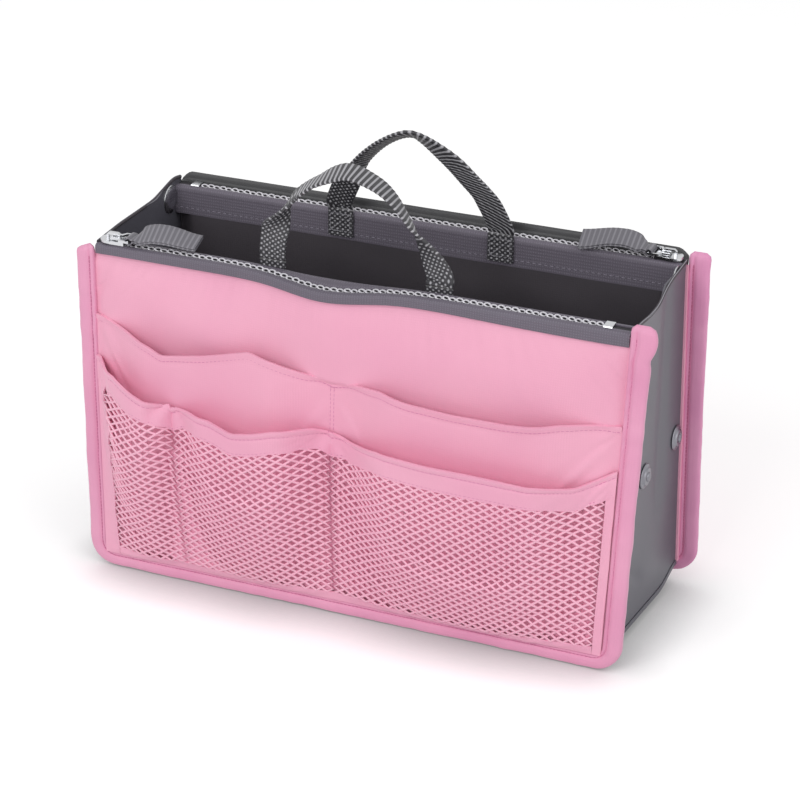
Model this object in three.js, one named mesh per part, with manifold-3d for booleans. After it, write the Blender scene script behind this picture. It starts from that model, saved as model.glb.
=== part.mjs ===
// Purse organizer insert: two padded walls with zipped pockets, joined by folding gussets and a padded base.
// Millimetres, +Z up. The origin is the centre of the flat underside, +X runs along the front wall to the right.

import * as THREE from 'three';
import { mergeVertices } from 'three/addons/utils/BufferGeometryUtils.js';
import Module from 'manifold-3d';

// Driving dimensions
const overallWidth = 280;
const overallDepth = 98;
const rimHeight = 172;
const clearance = 0.3;

// Binding flange that stands out round the sides and bottom of each wall
const bindingWidth = 9;
const bindingThickness = 5;
const bindingCornerRadius = 12;
const bindingFloorGap = 0.5;
const bindingBottomHeight = 7.5;
const bindingBevel = 1.2;
const bindingTopAboveRim = 0.5;

// Fabric layers of a wall
const fabricThickness = 1.0;
const panelThickness = 1.7;
const paddingThickness = 1.5;
const liningThickness = 0.8;
const seamRecess = 0.4;
const panelCrown = 4.5;
const panelTopBelowRim = 7;
const liningSideCurve = 10;

// Zip: two tapes, two half chains, an end stop and a slider
const tapeThickness = 0.8;
const tapeBend = 1.5;
const backHemRise = 3.5;
const hemOffset = 0.4;
const hemThickness = 1.6;
const chainHalfWidth = 1.9;
const chainThickness = 2.0;
const chainSpine = 0.7;
const toothPitch = 4.0;
const toothWidth = 1.7;
const zipInset = 7.6;
const innerTapeInset = 12.8;
const zipEndMargin = 18.5;
const stopLength = 4.2;
const stopCapOverhang = 1.3;
const stopCapThickness = 0.5;

const sliderLength = 13;
const sliderNoseShare = 0.42;
const sliderTopHalfWidth = 4.6;
const sliderTailHalfWidth = 3.6;
const sliderBottomHalfWidth = 3.2;
const sliderPlate = 1.2;
const sliderWedgeLength = 3.4;
const sliderWedgeWidth = 2.6;
const crownLength = 7.0;
const crownWidth = 1.8;
const crownOpening = 2.0;
const crownBar = 1.1;

const pullerThickness = 1.0;
const pullerBar = 1.2;
const pullerNeckLength = 3.0;
const pullerThroatLength = 3.9;
const pullerFlare = 1.5;
const pullerNeckHalfWidth = 2.8;
const pullerHalfWidth = 5.0;
const pullerLength = 9.8;
const pullerArm = 0.8;
const pullerEndBar = 1.3;
const pullerBarSegments = 16;

const tabHalfWidth = 3.9;
const tabLayer = 1.0;
const tabEyeRadius = 1.15;
const tabLength = 36;
const tabRise = 7.0;

// Webbing handles
const handleHalfSpan = 41;
const frontHandleHeight = 47.5;
const backHandleHeight = 53.5;
const webbingWidth = 13;
const webbingThickness = 1.4;
const handleHingeAboveRim = 3;
const handleFootHeight = 14;
const handleTwistStart = 12;
const handleTwistHeight = 24;
const handleOffsetX = -1;
const backHandleLeanDegrees = 22;

// Pockets on the outside of the walls
const upperTierHeight = 132;
const lowerTierHeight = 104;
const bandHeight = 12.5;
const upperMouth = 11;
const lowerMouth = 10;
const backTierHeight = 128;
const backMouth = 10;
const centreSeamShare = -0.0286;
const leftSeamShare = -0.3036;
const mouthRampShare = 0.26;
const netThickness = 0.9;
const netPitchX = 12.5;
const netPitchZ = 11.5;
const netStrand = 1.9;
const netSelvedge = 1.6;
const netFacet = 18;
const netSlack = 0.25;

// Gussets and base
const gussetThickness = 1.0;
const leftGussetSag = 0.8;
const rightGussetSag = 4.5;
const gussetSagY = -6;
const gussetSagReach = 34;
const gussetTopBelowRim = 0.5;
const baseTop = 8.5;
const baseEdgeHeight = 5.5;
const baseRollMargin = 20;
const baseLiningThickness = 0.8;
const baseLiningSideGap = 0.7;

// Press studs on the gussets
const popperRadius = 6.2;
const popperFlange = 0.9;
const popperRise = 1.9;
const popperBossRadius = 4.0;
const popperDimpleRadius = 2.2;
const popperDimple = 1.0;
const popperHeight = 84;
const popperFrontY = -8;
const popperBackY = 36;
const topPopperRadius = 7.2;
const topPopperRise = 1.6;
const topPopperY = 28;
const topPopperBelowRim = 7.8;
const popperSegments = 18;

// Colours
const pinkFabric = 0xe89cbf;
const greyFabric = 0x6c6a72;
const darkLining = 0x3f3a3f;
const paddingWhite = 0xd9d6d2;
const tapeGrey = 0x6f6a74;
const chainSilver = 0xb9b4bf;
const sliderMetal = 0xc9cacc;
const webbingGrey = 0x55545a;

const wasm = await Module();
wasm.setup();

const object = new THREE.Group();

// Places worked out from the driving dimensions, for the front wall; the back wall is the same turned round
const wallFace = -overallDepth / 2;
const gussetOuterX = overallWidth / 2 - bindingWidth;
const seamHalfWidth = gussetOuterX + clearance;
const layerHalfWidth = gussetOuterX - gussetThickness - clearance;
const lowerLayerY = wallFace + seamRecess;
const upperLayerY = lowerLayerY + fabricThickness + clearance;
const panelY = upperLayerY + fabricThickness + clearance;
const paddingY = panelY + panelThickness + clearance;
const bindingInnerY = wallFace + bindingThickness;
const zipY = wallFace + zipInset;
const innerTapeY = wallFace + innerTapeInset;
const centreSeam = centreSeamShare * overallWidth;
const leftSeam = leftSeamShare * overallWidth;
const panelTop = rimHeight - panelTopBelowRim;
const layerBottom = baseTop + clearance;
const panelBottom = bindingBottomHeight + clearance + bindingFloorGap;
const gussetHalfDepth = -bindingInnerY - clearance;
const sliderRestX = -layerHalfWidth + sliderLength / 2 + clearance;
const chainStart = sliderRestX + sliderWedgeLength / 2 - sliderLength * sliderNoseShare / 2;
const chainEnd = overallWidth / 2 - zipEndMargin - stopLength;

const smooth = (t) => {
  const c = Math.min(Math.max(t, 0), 1);
  return c * c * (3 - 2 * c);
};

const spread = (low, high, count) =>
  Array.from({ length: count + 1 }, (_, i) => low + (high - low) * i / count);

// A value along shares of a length, eased between the points so that an edge waves softly
function easedShare(shares, t) {
  for (let i = 1; i < shares.length; i += 1) {
    const [t0, v0] = shares[i - 1];
    const [t1, v1] = shares[i];
    if (t <= t1) return v0 + (v1 - v0) * smooth((t - t0) / (t1 - t0));
  }
  return shares[shares.length - 1][1];
}

const signedVolume = (positions, indices) => {
  const [a, b, c] = [new THREE.Vector3(), new THREE.Vector3(), new THREE.Vector3()];
  let sum = 0;
  for (let i = 0; i < indices.length; i += 3) {
    a.fromArray(positions, 3 * indices[i]);
    b.fromArray(positions, 3 * indices[i + 1]);
    c.fromArray(positions, 3 * indices[i + 2]);
    sum += a.dot(b.cross(c));
  }
  return sum;
};

function indexedGeometry(positions, indices) {
  if (signedVolume(positions, indices) < 0) {
    for (let i = 0; i < indices.length; i += 3) {
      [indices[i + 1], indices[i + 2]] = [indices[i + 2], indices[i + 1]];
    }
  }
  const geometry = new THREE.BufferGeometry();
  geometry.setAttribute('position', new THREE.Float32BufferAttribute(positions, 3));
  geometry.setIndex(indices);
  return geometry;
}

// A closed sheet between two faces given on the same grid of columns and rows
function closedSheet(columns, rows, outerFace, innerFace) {
  const positions = [];
  const indices = [];
  const nu = columns.length;
  const nv = rows.length;
  for (const face of [outerFace, innerFace]) {
    for (const v of rows) {
      for (const u of columns) positions.push(...face(u, v));
    }
  }
  const at = (side, i, j) => side * nu * nv + j * nu + i;
  const quad = (a, b, c, d) => indices.push(a, b, c, a, c, d);
  for (let j = 0; j < nv - 1; j += 1) {
    for (let i = 0; i < nu - 1; i += 1) {
      quad(at(0, i, j), at(0, i + 1, j), at(0, i + 1, j + 1), at(0, i, j + 1));
      quad(at(1, i, j), at(1, i, j + 1), at(1, i + 1, j + 1), at(1, i + 1, j));
    }
  }
  for (let i = 0; i < nu - 1; i += 1) {
    quad(at(0, i, 0), at(1, i, 0), at(1, i + 1, 0), at(0, i + 1, 0));
    quad(at(0, i, nv - 1), at(0, i + 1, nv - 1), at(1, i + 1, nv - 1), at(1, i, nv - 1));
  }
  for (let j = 0; j < nv - 1; j += 1) {
    quad(at(0, 0, j), at(0, 0, j + 1), at(1, 0, j + 1), at(1, 0, j));
    quad(at(0, nu - 1, j), at(1, nu - 1, j), at(1, nu - 1, j + 1), at(0, nu - 1, j + 1));
  }
  return indexedGeometry(positions, indices);
}

function plain(geometry) {
  const bare = geometry.clone();
  bare.deleteAttribute('normal');
  bare.deleteAttribute('uv');
  return mergeVertices(bare);
}

function toSolid(geometry) {
  const bare = plain(geometry);
  return new wasm.Manifold(new wasm.Mesh({
    numProp: 3,
    vertProperties: new Float32Array(bare.attributes.position.array),
    triVerts: new Uint32Array(bare.index.array),
  }));
}

function fromSolid(solid) {
  const mesh = solid.getMesh();
  const geometry = new THREE.BufferGeometry();
  geometry.setAttribute('position', new THREE.BufferAttribute(new Float32Array(mesh.vertProperties), 3));
  geometry.setIndex(Array.from(mesh.triVerts));
  return geometry;
}

const join = (...geometries) => fromSolid(geometries.map(toSolid).reduce((sum, next) => sum.add(next)));

function extrude(shape, depth, options = {}) {
  return new THREE.ExtrudeGeometry(shape, { depth, bevelEnabled: false, curveSegments: 6, ...options });
}

// An outline drawn in X and Z, extruded along Y from y0 to y1
function extrudeAlongY(shape, y0, y1, options) {
  const geometry = extrude(shape, y1 - y0, options);
  geometry.rotateX(Math.PI / 2);
  geometry.translate(0, y1, 0);
  return geometry;
}

// An outline drawn in Y and Z, extruded along X from x0 to x1
function extrudeAlongX(shape, x0, x1, options) {
  const geometry = extrude(shape, x1 - x0, options);
  geometry.rotateY(Math.PI / 2);
  geometry.rotateX(Math.PI / 2);
  geometry.translate(x0, 0, 0);
  return geometry;
}

function addPiece(parent, name, geometry, color, roughness, metalness = 0) {
  const material = new THREE.MeshStandardMaterial({ color, roughness, metalness });
  const mesh = new THREE.Mesh(geometry, material);
  mesh.name = name;
  parent.add(mesh);
  return mesh;
}

const fabricPiece = (parent, name, geometry, color = pinkFabric) => addPiece(parent, name, geometry, color, 0.75);
const metalPiece = (parent, name, geometry) => addPiece(parent, name, geometry, sliderMetal, 0.3, 1);

// Wall panel, padding and lining

const crown = (x, z) => {
  const across = 1 - Math.abs(x / layerHalfWidth) ** 3;
  const up = Math.sin(Math.PI * Math.min(Math.max((z - panelBottom) / (panelTop - panelBottom), 0), 1));
  return panelCrown * across * up;
};

function outerPanel() {
  return closedSheet(
    spread(-layerHalfWidth, layerHalfWidth, 12),
    spread(panelBottom, panelTop, 8),
    (x, z) => [x, panelY - crown(x, z), z],
    (x, z) => [x, panelY + panelThickness - crown(x, z), z],
  );
}

function padding() {
  return closedSheet(
    spread(-layerHalfWidth, layerHalfWidth, 12),
    spread(layerBottom, panelTop, 8),
    (x, z) => [x, paddingY - crown(x, z), z],
    (x, z) => [x, paddingY + paddingThickness - crown(x, z), z],
  );
}

function lining() {
  const outerY = innerTapeY - liningThickness;
  const sideY = paddingY + paddingThickness + clearance;
  const flatHalfWidth = layerHalfWidth - liningSideCurve;
  const columns = [
    ...spread(-layerHalfWidth, -flatHalfWidth, 4),
    ...spread(flatHalfWidth, layerHalfWidth, 4),
  ];
  const depthAt = (x) => sideY + (outerY - sideY) * smooth((layerHalfWidth - Math.abs(x)) / liningSideCurve);
  return closedSheet(
    columns,
    [layerBottom, panelTop],
    (x, z) => [x, depthAt(x), z],
    (x, z) => [x, depthAt(x) + liningThickness, z],
  );
}

// Binding: a soft bar down both sides and along the bottom, with rounded lower corners

function binding() {
  const halfWidth = overallWidth / 2 - bindingBevel;
  const innerHalfWidth = seamHalfWidth + bindingBevel;
  const top = rimHeight + bindingTopAboveRim - bindingBevel;
  const bottom = bindingFloorGap + bindingBevel;
  const innerBottom = bindingFloorGap + bindingBottomHeight - bindingBevel;
  const radius = bindingCornerRadius;
  const shape = new THREE.Shape();
  shape.moveTo(-halfWidth, top);
  shape.lineTo(-halfWidth, bottom + radius);
  shape.absarc(-halfWidth + radius, bottom + radius, radius, Math.PI, 1.5 * Math.PI, false);
  shape.lineTo(halfWidth - radius, bottom);
  shape.absarc(halfWidth - radius, bottom + radius, radius, 1.5 * Math.PI, 2 * Math.PI, false);
  shape.lineTo(halfWidth, top);
  shape.lineTo(innerHalfWidth, top);
  shape.lineTo(innerHalfWidth, innerBottom);
  shape.lineTo(-innerHalfWidth, innerBottom);
  shape.lineTo(-innerHalfWidth, top);
  shape.closePath();
  const geometry = extrude(shape, bindingThickness - 2 * bindingBevel, {
    bevelEnabled: true,
    bevelSize: bindingBevel,
    bevelThickness: bindingBevel,
    bevelSegments: 2,
    curveSegments: 5,
  });
  geometry.rotateX(Math.PI / 2);
  geometry.translate(0, bindingInnerY - bindingBevel, 0);
  return plain(geometry);
}

// Zip tapes: each is a strip that lies flat beside the chain and turns down to its panel

function tapeShape(side, reach) {
  const top = rimHeight + tapeThickness / 2;
  const start = zipY + side * (chainHalfWidth + clearance);
  const outer = zipY + side * reach;
  const bend = Math.min(tapeBend, reach - chainHalfWidth - clearance);
  const innerBend = bend - tapeThickness;
  const end = panelTop + clearance;
  const shape = new THREE.Shape();
  const arc = (radius, from, to) => {
    const steps = 4;
    for (let i = 0; i <= steps; i += 1) {
      const angle = from + (to - from) * i / steps;
      shape.lineTo(outer - side * bend + side * radius * Math.cos(angle), top - bend + radius * Math.sin(angle));
    }
  };
  shape.moveTo(start, top);
  arc(bend, Math.PI / 2, 0);
  shape.lineTo(outer, end);
  shape.lineTo(outer - side * tapeThickness, end);
  arc(innerBend, 0, Math.PI / 2);
  shape.lineTo(start, top - tapeThickness);
  shape.closePath();
  return shape;
}

const outerTapeReach = zipY - (panelY - clearance);
const innerTapeReach = innerTapeY - zipY;

const zipTape = (side, reach) => plain(extrudeAlongX(tapeShape(side, reach), -layerHalfWidth, layerHalfWidth));

// The outer tape. A wall with a hem has it folded up behind the chain as a standing edge.
function outerTape(hemRise) {
  const tape = zipTape(-1, outerTapeReach);
  if (hemRise === 0) return tape;
  const top = rimHeight + tapeThickness / 2;
  const tapeOuter = zipY - outerTapeReach;
  const inner = tapeOuter - hemOffset;
  const outer = inner - hemThickness;
  const round = hemThickness / 4;
  const shape = new THREE.Shape();
  shape.moveTo(tapeOuter + tapeThickness / 2, top - tapeBend);
  shape.lineTo(inner, top - tapeBend / 2);
  shape.lineTo(inner, top + hemRise - round);
  shape.lineTo(inner - round, top + hemRise);
  shape.lineTo(outer + round, top + hemRise);
  shape.lineTo(outer, top + hemRise - round);
  shape.lineTo(outer, top - tapeBend);
  shape.lineTo(tapeOuter + tapeThickness / 2, top - tapeBend - hemThickness);
  shape.closePath();
  return join(tape, extrudeAlongX(shape, -layerHalfWidth, layerHalfWidth));
}

// Half a chain: a spine with square teeth that mesh between the teeth of the other half
function halfChain(side) {
  const spineY = zipY + side * chainHalfWidth;
  const rootY = spineY - side * chainSpine;
  const tipY = zipY - side * (chainHalfWidth - chainSpine - clearance);
  const count = Math.floor((chainEnd - chainStart) / toothPitch);
  const first = chainStart + (side > 0 ? toothPitch / 2 : 0);
  const shape = new THREE.Shape();
  shape.moveTo(chainStart, spineY);
  shape.lineTo(chainStart, rootY);
  for (let i = 0; i < count; i += 1) {
    const x = first + i * toothPitch;
    if (i > 0 || side > 0) shape.lineTo(x, rootY);
    shape.lineTo(x, tipY);
    shape.lineTo(x + toothWidth, tipY);
    shape.lineTo(x + toothWidth, rootY);
  }
  shape.lineTo(chainEnd, rootY);
  shape.lineTo(chainEnd, spineY);
  shape.closePath();
  const geometry = extrude(shape, chainThickness);
  geometry.translate(0, 0, rimHeight - chainThickness / 2);
  return plain(geometry);
}

function endStop() {
  const halfWidth = chainHalfWidth;
  const capHalfWidth = chainHalfWidth + stopCapOverhang;
  const capUnder = rimHeight + tapeThickness / 2 + clearance;
  const capTop = capUnder + stopCapThickness;
  const bottom = rimHeight - chainThickness / 2;
  const shape = new THREE.Shape();
  shape.moveTo(zipY - halfWidth, bottom);
  shape.lineTo(zipY + halfWidth, bottom);
  shape.lineTo(zipY + halfWidth, capUnder);
  shape.lineTo(zipY + capHalfWidth, capUnder);
  shape.lineTo(zipY + capHalfWidth - stopCapThickness / 2, capTop);
  shape.lineTo(zipY - capHalfWidth + stopCapThickness / 2, capTop);
  shape.lineTo(zipY - capHalfWidth, capUnder);
  shape.lineTo(zipY - halfWidth, capUnder);
  shape.closePath();
  return plain(extrudeAlongX(shape, chainEnd + clearance, chainEnd + clearance + stopLength));
}

// Slider: two plates joined by a wedge, lips that hold the chain, and a crown for the puller.
// Its own frame has the chain's centre line along X and the chain's middle plane at zero height.

const plateUnder = chainThickness / 2 + clearance;
const plateTop = plateUnder + sliderPlate;
const pullerPivotHeight = plateTop + crownOpening / 2;

function sliderPlateShape(noseHalfWidth, tailHalfWidth) {
  const front = -sliderLength / 2;
  const shoulder = front + sliderLength * sliderNoseShare;
  const shape = new THREE.Shape();
  shape.moveTo(front, 0);
  shape.quadraticCurveTo(front, noseHalfWidth, shoulder, noseHalfWidth);
  shape.lineTo(-front, tailHalfWidth);
  shape.lineTo(-front, -tailHalfWidth);
  shape.lineTo(shoulder, -noseHalfWidth);
  shape.quadraticCurveTo(front, -noseHalfWidth, front, 0);
  shape.closePath();
  return shape;
}

function slider() {
  const top = extrude(sliderPlateShape(sliderTopHalfWidth, sliderTailHalfWidth), sliderPlate, { curveSegments: 5 });
  top.translate(0, 0, plateUnder);
  const bottomShape = sliderPlateShape(sliderBottomHalfWidth, sliderBottomHalfWidth - clearance);
  const bottom = extrude(bottomShape, sliderPlate, { curveSegments: 5 });
  bottom.translate(0, 0, -plateTop);

  const lipUnder = tapeThickness / 2 + clearance;
  const lipHeight = plateUnder - lipUnder + sliderPlate / 2;
  const lipLength = sliderLength * (1 - sliderNoseShare);
  const lipInner = chainHalfWidth + clearance;
  const lips = [];
  for (const side of [-1, 1]) {
    for (const [level, reach] of [[1, sliderTailHalfWidth], [-1, sliderBottomHalfWidth - clearance]]) {
      const lip = new THREE.BoxGeometry(lipLength, reach - lipInner, lipHeight);
      const lipX = sliderLength / 2 - lipLength / 2;
      lip.translate(lipX, side * (reach + lipInner) / 2, level * (lipUnder + lipHeight / 2));
      lips.push(lip);
    }
  }

  const wedgeShape = new THREE.Shape();
  const wedgeFront = -sliderLength / 2 + sliderPlate / 2;
  wedgeShape.moveTo(wedgeFront, 0);
  wedgeShape.lineTo(wedgeFront + sliderWedgeLength / 3, sliderWedgeWidth / 2);
  wedgeShape.lineTo(wedgeFront + sliderWedgeLength, 0);
  wedgeShape.lineTo(wedgeFront + sliderWedgeLength / 3, -sliderWedgeWidth / 2);
  wedgeShape.closePath();
  const wedge = extrude(wedgeShape, 2 * plateUnder + sliderPlate);
  wedge.translate(0, 0, -plateUnder - sliderPlate / 2);

  const crownShape = new THREE.Shape();
  const foot = crownLength / 2;
  const base = plateTop - sliderPlate / 2;
  const inner = plateTop;
  const innerTop = plateTop + crownOpening;
  const outerTop = innerTop + crownBar;
  const innerFoot = foot - crownBar;
  crownShape.moveTo(-foot, base);
  crownShape.lineTo(-foot, innerTop);
  crownShape.lineTo(-foot + crownBar, outerTop);
  crownShape.lineTo(foot - crownBar, outerTop);
  crownShape.lineTo(foot, innerTop);
  crownShape.lineTo(foot, base);
  crownShape.closePath();
  const crownHole = new THREE.Path();
  crownHole.moveTo(-innerFoot, inner);
  crownHole.lineTo(innerFoot, inner);
  crownHole.lineTo(innerFoot, innerTop);
  crownHole.lineTo(-innerFoot, innerTop);
  crownHole.closePath();
  crownShape.holes.push(crownHole);
  const crownPiece = extrudeAlongY(crownShape, -crownWidth / 2, crownWidth / 2);

  return join(top, bottom, wedge, crownPiece, ...lips);
}

// Puller: two flat arms joined by two round bars. One bar lies under the crown, the other holds the webbing.
// Its own frame has the first bar's centre at the origin and the arms along X.

function puller() {
  const throatHalfWidth = crownWidth / 2 + clearance;
  const innerHalfWidth = pullerHalfWidth - pullerArm;
  const barEnd = -pullerBar / 2;
  const endBarX = pullerLength - pullerEndBar / 2;
  const arm = (side) => {
    const shape = new THREE.Shape();
    shape.moveTo(barEnd, side * throatHalfWidth);
    shape.lineTo(barEnd, side * pullerNeckHalfWidth);
    shape.lineTo(pullerNeckLength, side * pullerNeckHalfWidth);
    shape.lineTo(pullerNeckLength + pullerFlare, side * pullerHalfWidth);
    shape.lineTo(pullerLength, side * pullerHalfWidth);
    shape.lineTo(pullerLength, side * innerHalfWidth);
    shape.lineTo(pullerThroatLength + pullerFlare, side * innerHalfWidth);
    shape.lineTo(pullerThroatLength, side * throatHalfWidth);
    shape.closePath();
    const geometry = extrude(shape, pullerThickness);
    geometry.translate(0, 0, -pullerThickness / 2);
    return geometry;
  };
  const bar = (x, diameter, halfLength) => {
    const geometry = new THREE.CylinderGeometry(diameter / 2, diameter / 2, 2 * halfLength, pullerBarSegments);
    geometry.translate(x, 0, 0);
    return geometry;
  };
  const eyeBar = bar(0, pullerBar, (throatHalfWidth + pullerNeckHalfWidth) / 2);
  const endBar = bar(endBarX, pullerEndBar, pullerHalfWidth - pullerArm / 2);
  return join(arm(1), arm(-1), eyeBar, endBar);
}

// Pull tab: webbing folded round the puller's end bar and sewn to itself, arching over the zip.
// Its own frame has the end bar's centre at the origin and the tab along X.

function pullTab() {
  const outer = tabEyeRadius + tabLayer;
  const steps = 10;
  const eyeSteps = 12;
  const tailStart = outer;
  const height = (x) => tabRise * Math.sin(Math.PI * (x - tailStart) / (tabLength - tailStart));
  const shape = new THREE.Shape();
  const from = Math.acos(tabLayer / outer);
  for (let i = 0; i <= steps; i += 1) {
    const angle = Math.PI / 2 - from + (2 * Math.PI - 2 * (Math.PI / 2 - from)) * i / steps;
    const point = [outer * Math.cos(angle), outer * Math.sin(angle)];
    if (i === 0) shape.moveTo(...point);
    else shape.lineTo(...point);
  }
  for (const x of spread(tailStart + tabLayer, tabLength, steps)) shape.lineTo(x, height(x) - tabLayer);
  for (const x of spread(tabLength, tailStart + tabLayer, steps)) shape.lineTo(x, height(x) + tabLayer);
  shape.closePath();
  const eye = new THREE.Path();
  for (let i = 0; i < eyeSteps; i += 1) {
    const angle = -2 * Math.PI * i / eyeSteps;
    const point = [tabEyeRadius * Math.cos(angle), tabEyeRadius * Math.sin(angle)];
    if (i === 0) eye.moveTo(...point);
    else eye.lineTo(...point);
  }
  eye.closePath();
  shape.holes.push(eye);
  return plain(extrudeAlongY(shape, -tabHalfWidth, tabHalfWidth));
}

// Handles: webbing sewn flat at both feet, each leg turning on edge as it rises into the arch.
// The frame has the hinge line along X through the origin.

const frontArchShares = [
  [-1, 0], [-1, 0.1], [-0.95, 0.35], [-0.78, 0.62], [-0.5, 0.84], [-0.12, 1],
  [0.2, 0.94], [0.44, 0.8], [0.67, 0.54], [0.86, 0.32], [1, 0.1], [1, 0],
];
const backArchShares = [
  [-1, 0], [-1, 0.08], [-0.88, 0.37], [-0.7, 0.58], [-0.5, 0.78], [-0.2, 0.98], [0, 1],
  [0.28, 0.88], [0.56, 0.67], [0.8, 0.4], [1, 0.08], [1, 0],
];

// Each leg's width starts along X at its foot and turns to Y. legTurns says which way round, left then right.

function handle({ archShares, archHeight, legTurns, archSide }) {
  const points = archShares.map(([x, h]) => new THREE.Vector3(x * handleHalfSpan, 0, h * archHeight));
  const curve = new THREE.CatmullRomCurve3(points, false, 'centripetal');
  const stationCount = 36;
  const radius = webbingThickness / 2;
  const roundShares = [[1, 0.15], [0.85, 0.53], [0.45, 0.89]];
  const stations = [];
  const side = new THREE.Vector3(0, 1, 0);
  const archAcross = side.clone().multiplyScalar(archSide);
  const addStation = (centre, tangent, halfThickness) => {
    const flat = new THREE.Vector3().crossVectors(tangent, side);
    flat.multiplyScalar(centre.x < 0 ? legTurns[0] : legTurns[1]);
    const turn = smooth((centre.z - handleTwistStart) / handleTwistHeight) * Math.PI / 2;
    const across = flat.multiplyScalar(Math.cos(turn)).addScaledVector(archAcross, Math.sin(turn));
    const normal = new THREE.Vector3().crossVectors(tangent, across);
    stations.push({ centre, across, normal, halfThickness });
  };
  const up = new THREE.Vector3(0, 0, 1);
  const down = new THREE.Vector3(0, 0, -1);
  for (const [drop, share] of roundShares) {
    addStation(new THREE.Vector3(-handleHalfSpan, 0, -radius * drop), up, radius * share);
  }
  for (let i = 0; i <= stationCount; i += 1) {
    const t = i / stationCount;
    addStation(curve.getPointAt(t), curve.getTangentAt(t), radius);
  }
  for (const [drop, share] of [...roundShares].reverse()) {
    addStation(new THREE.Vector3(handleHalfSpan, 0, -radius * drop), down, radius * share);
  }
  const face = (sign) => (i, w) => {
    const { centre, across, normal, halfThickness } = stations[i];
    const point = centre.clone().addScaledVector(across, w).addScaledVector(normal, sign * halfThickness);
    return point.toArray();
  };
  return closedSheet(stations.map((_, i) => i), spread(-webbingWidth / 2, webbingWidth / 2, 2), face(1), face(-1));
}

function handleFoot() {
  const top = -webbingThickness / 2 - clearance;
  const geometry = new THREE.BoxGeometry(webbingWidth, webbingThickness, handleFootHeight);
  geometry.translate(0, 0, top - handleFootHeight / 2);
  return geometry;
}

// A wall with its zip, handle and layers. The names that differ from side to side come with it.

function buildWall(prefix, footNames, handleForm, hemRise) {
  const wall = new THREE.Group();
  fabricPiece(wall, `${prefix}_outer_panel`, outerPanel());
  fabricPiece(wall, `${prefix}_padding`, padding(), paddingWhite);
  fabricPiece(wall, `${prefix}_lining`, lining(), darkLining);
  fabricPiece(wall, `${prefix}_binding`, binding());
  fabricPiece(wall, `${prefix}_zip_outer_tape`, outerTape(hemRise), tapeGrey);
  fabricPiece(wall, `${prefix}_zip_inner_tape`, zipTape(1, innerTapeReach), tapeGrey);
  addPiece(wall, `${prefix}_zip_outer_chain`, halfChain(-1), chainSilver, 0.45);
  addPiece(wall, `${prefix}_zip_inner_chain`, halfChain(1), chainSilver, 0.45);
  metalPiece(wall, `${prefix}_zip_end_stop`, endStop());

  const carriage = new THREE.Group();
  carriage.position.set(sliderRestX, zipY, rimHeight);
  wall.add(carriage);
  metalPiece(carriage, `${prefix}_zip_slider`, slider());
  metalPiece(carriage, `${prefix}_zip_puller`, puller()).position.z = pullerPivotHeight;
  const tab = fabricPiece(carriage, `${prefix}_pull_tab`, pullTab(), webbingGrey);
  tab.position.set(pullerLength - pullerEndBar / 2, 0, pullerPivotHeight);

  const hinge = new THREE.Group();
  hinge.position.set(handleOffsetX, innerTapeY + clearance + webbingThickness / 2, rimHeight + handleHingeAboveRim);
  wall.add(hinge);
  const loop = fabricPiece(hinge, `${prefix}_handle`, handle(handleForm), webbingGrey);
  loop.rotation.x = -THREE.MathUtils.degToRad(handleForm.leanDegrees);
  footNames.forEach((name, i) => {
    const foot = fabricPiece(hinge, name, handleFoot(), webbingGrey);
    foot.position.x = (i === 0 ? -1 : 1) * handleHalfSpan;
  });
  return wall;
}

// Outside pockets. Each tier is sewn at its seams and along the bottom, and stands open between them.

const mouthShape = (x, low, high) => {
  const share = (x - low) / (high - low);
  return smooth(Math.min(share, 1 - share) / mouthRampShare);
};

const openAcross = (x, seams) => {
  for (let i = 1; i < seams.length; i += 1) {
    if (x <= seams[i]) return mouthShape(x, seams[i - 1], seams[i]);
  }
  return 0;
};

const openUp = (z, top) => Math.sin(Math.PI / 2 * Math.min(Math.max((z - panelBottom) / (top - panelBottom), 0), 1));

const acrossShare = (x) => (x + layerHalfWidth) / (2 * layerHalfWidth);

const upperEdgeShares = [[0, 1.05], [0.15, 0.985], [0.31, 1.035], [0.47, 0.992], [0.75, 0.955], [1, 0.985]];
const lowerEdgeShares = [[0, 1.14], [0.1, 1.01], [0.175, 1.0], [0.3, 0.975], [0.47, 1.0], [0.9, 0.99], [1, 1.02]];
const backEdgeShares = [[0, 1.02], [0.25, 0.97], [0.5, 1], [0.75, 0.97], [1, 1.02]];

const upperEdge = (x) => upperTierHeight * easedShare(upperEdgeShares, acrossShare(x));
const lowerEdge = (x) => lowerTierHeight * easedShare(lowerEdgeShares, acrossShare(x));
const backEdge = (x) => backTierHeight * easedShare(backEdgeShares, acrossShare(x));

const upperSeams = [-layerHalfWidth, centreSeam, layerHalfWidth];
const lowerSeams = [-layerHalfWidth, leftSeam, centreSeam, layerHalfWidth];
const backSeams = [-layerHalfWidth, 0, layerHalfWidth];

const upperInnerFace = (x, z) =>
  panelY - crown(x, z) - clearance - upperMouth * openAcross(x, upperSeams) * openUp(z, upperTierHeight);
const lowerInnerFace = (x, z) =>
  upperInnerFace(x, z) - fabricThickness - clearance
  - lowerMouth * openAcross(x, lowerSeams) * openUp(z, lowerTierHeight) - netSlack;
const backInnerFace = (x, z) =>
  panelY - crown(x, z) - clearance - backMouth * openAcross(x, backSeams) * openUp(z, backTierHeight);

function columnsBetween(seams, perPocket) {
  const columns = [seams[0]];
  for (let i = 1; i < seams.length; i += 1) {
    columns.push(...spread(seams[i - 1], seams[i], perPocket).slice(1));
  }
  return columns;
}

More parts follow.
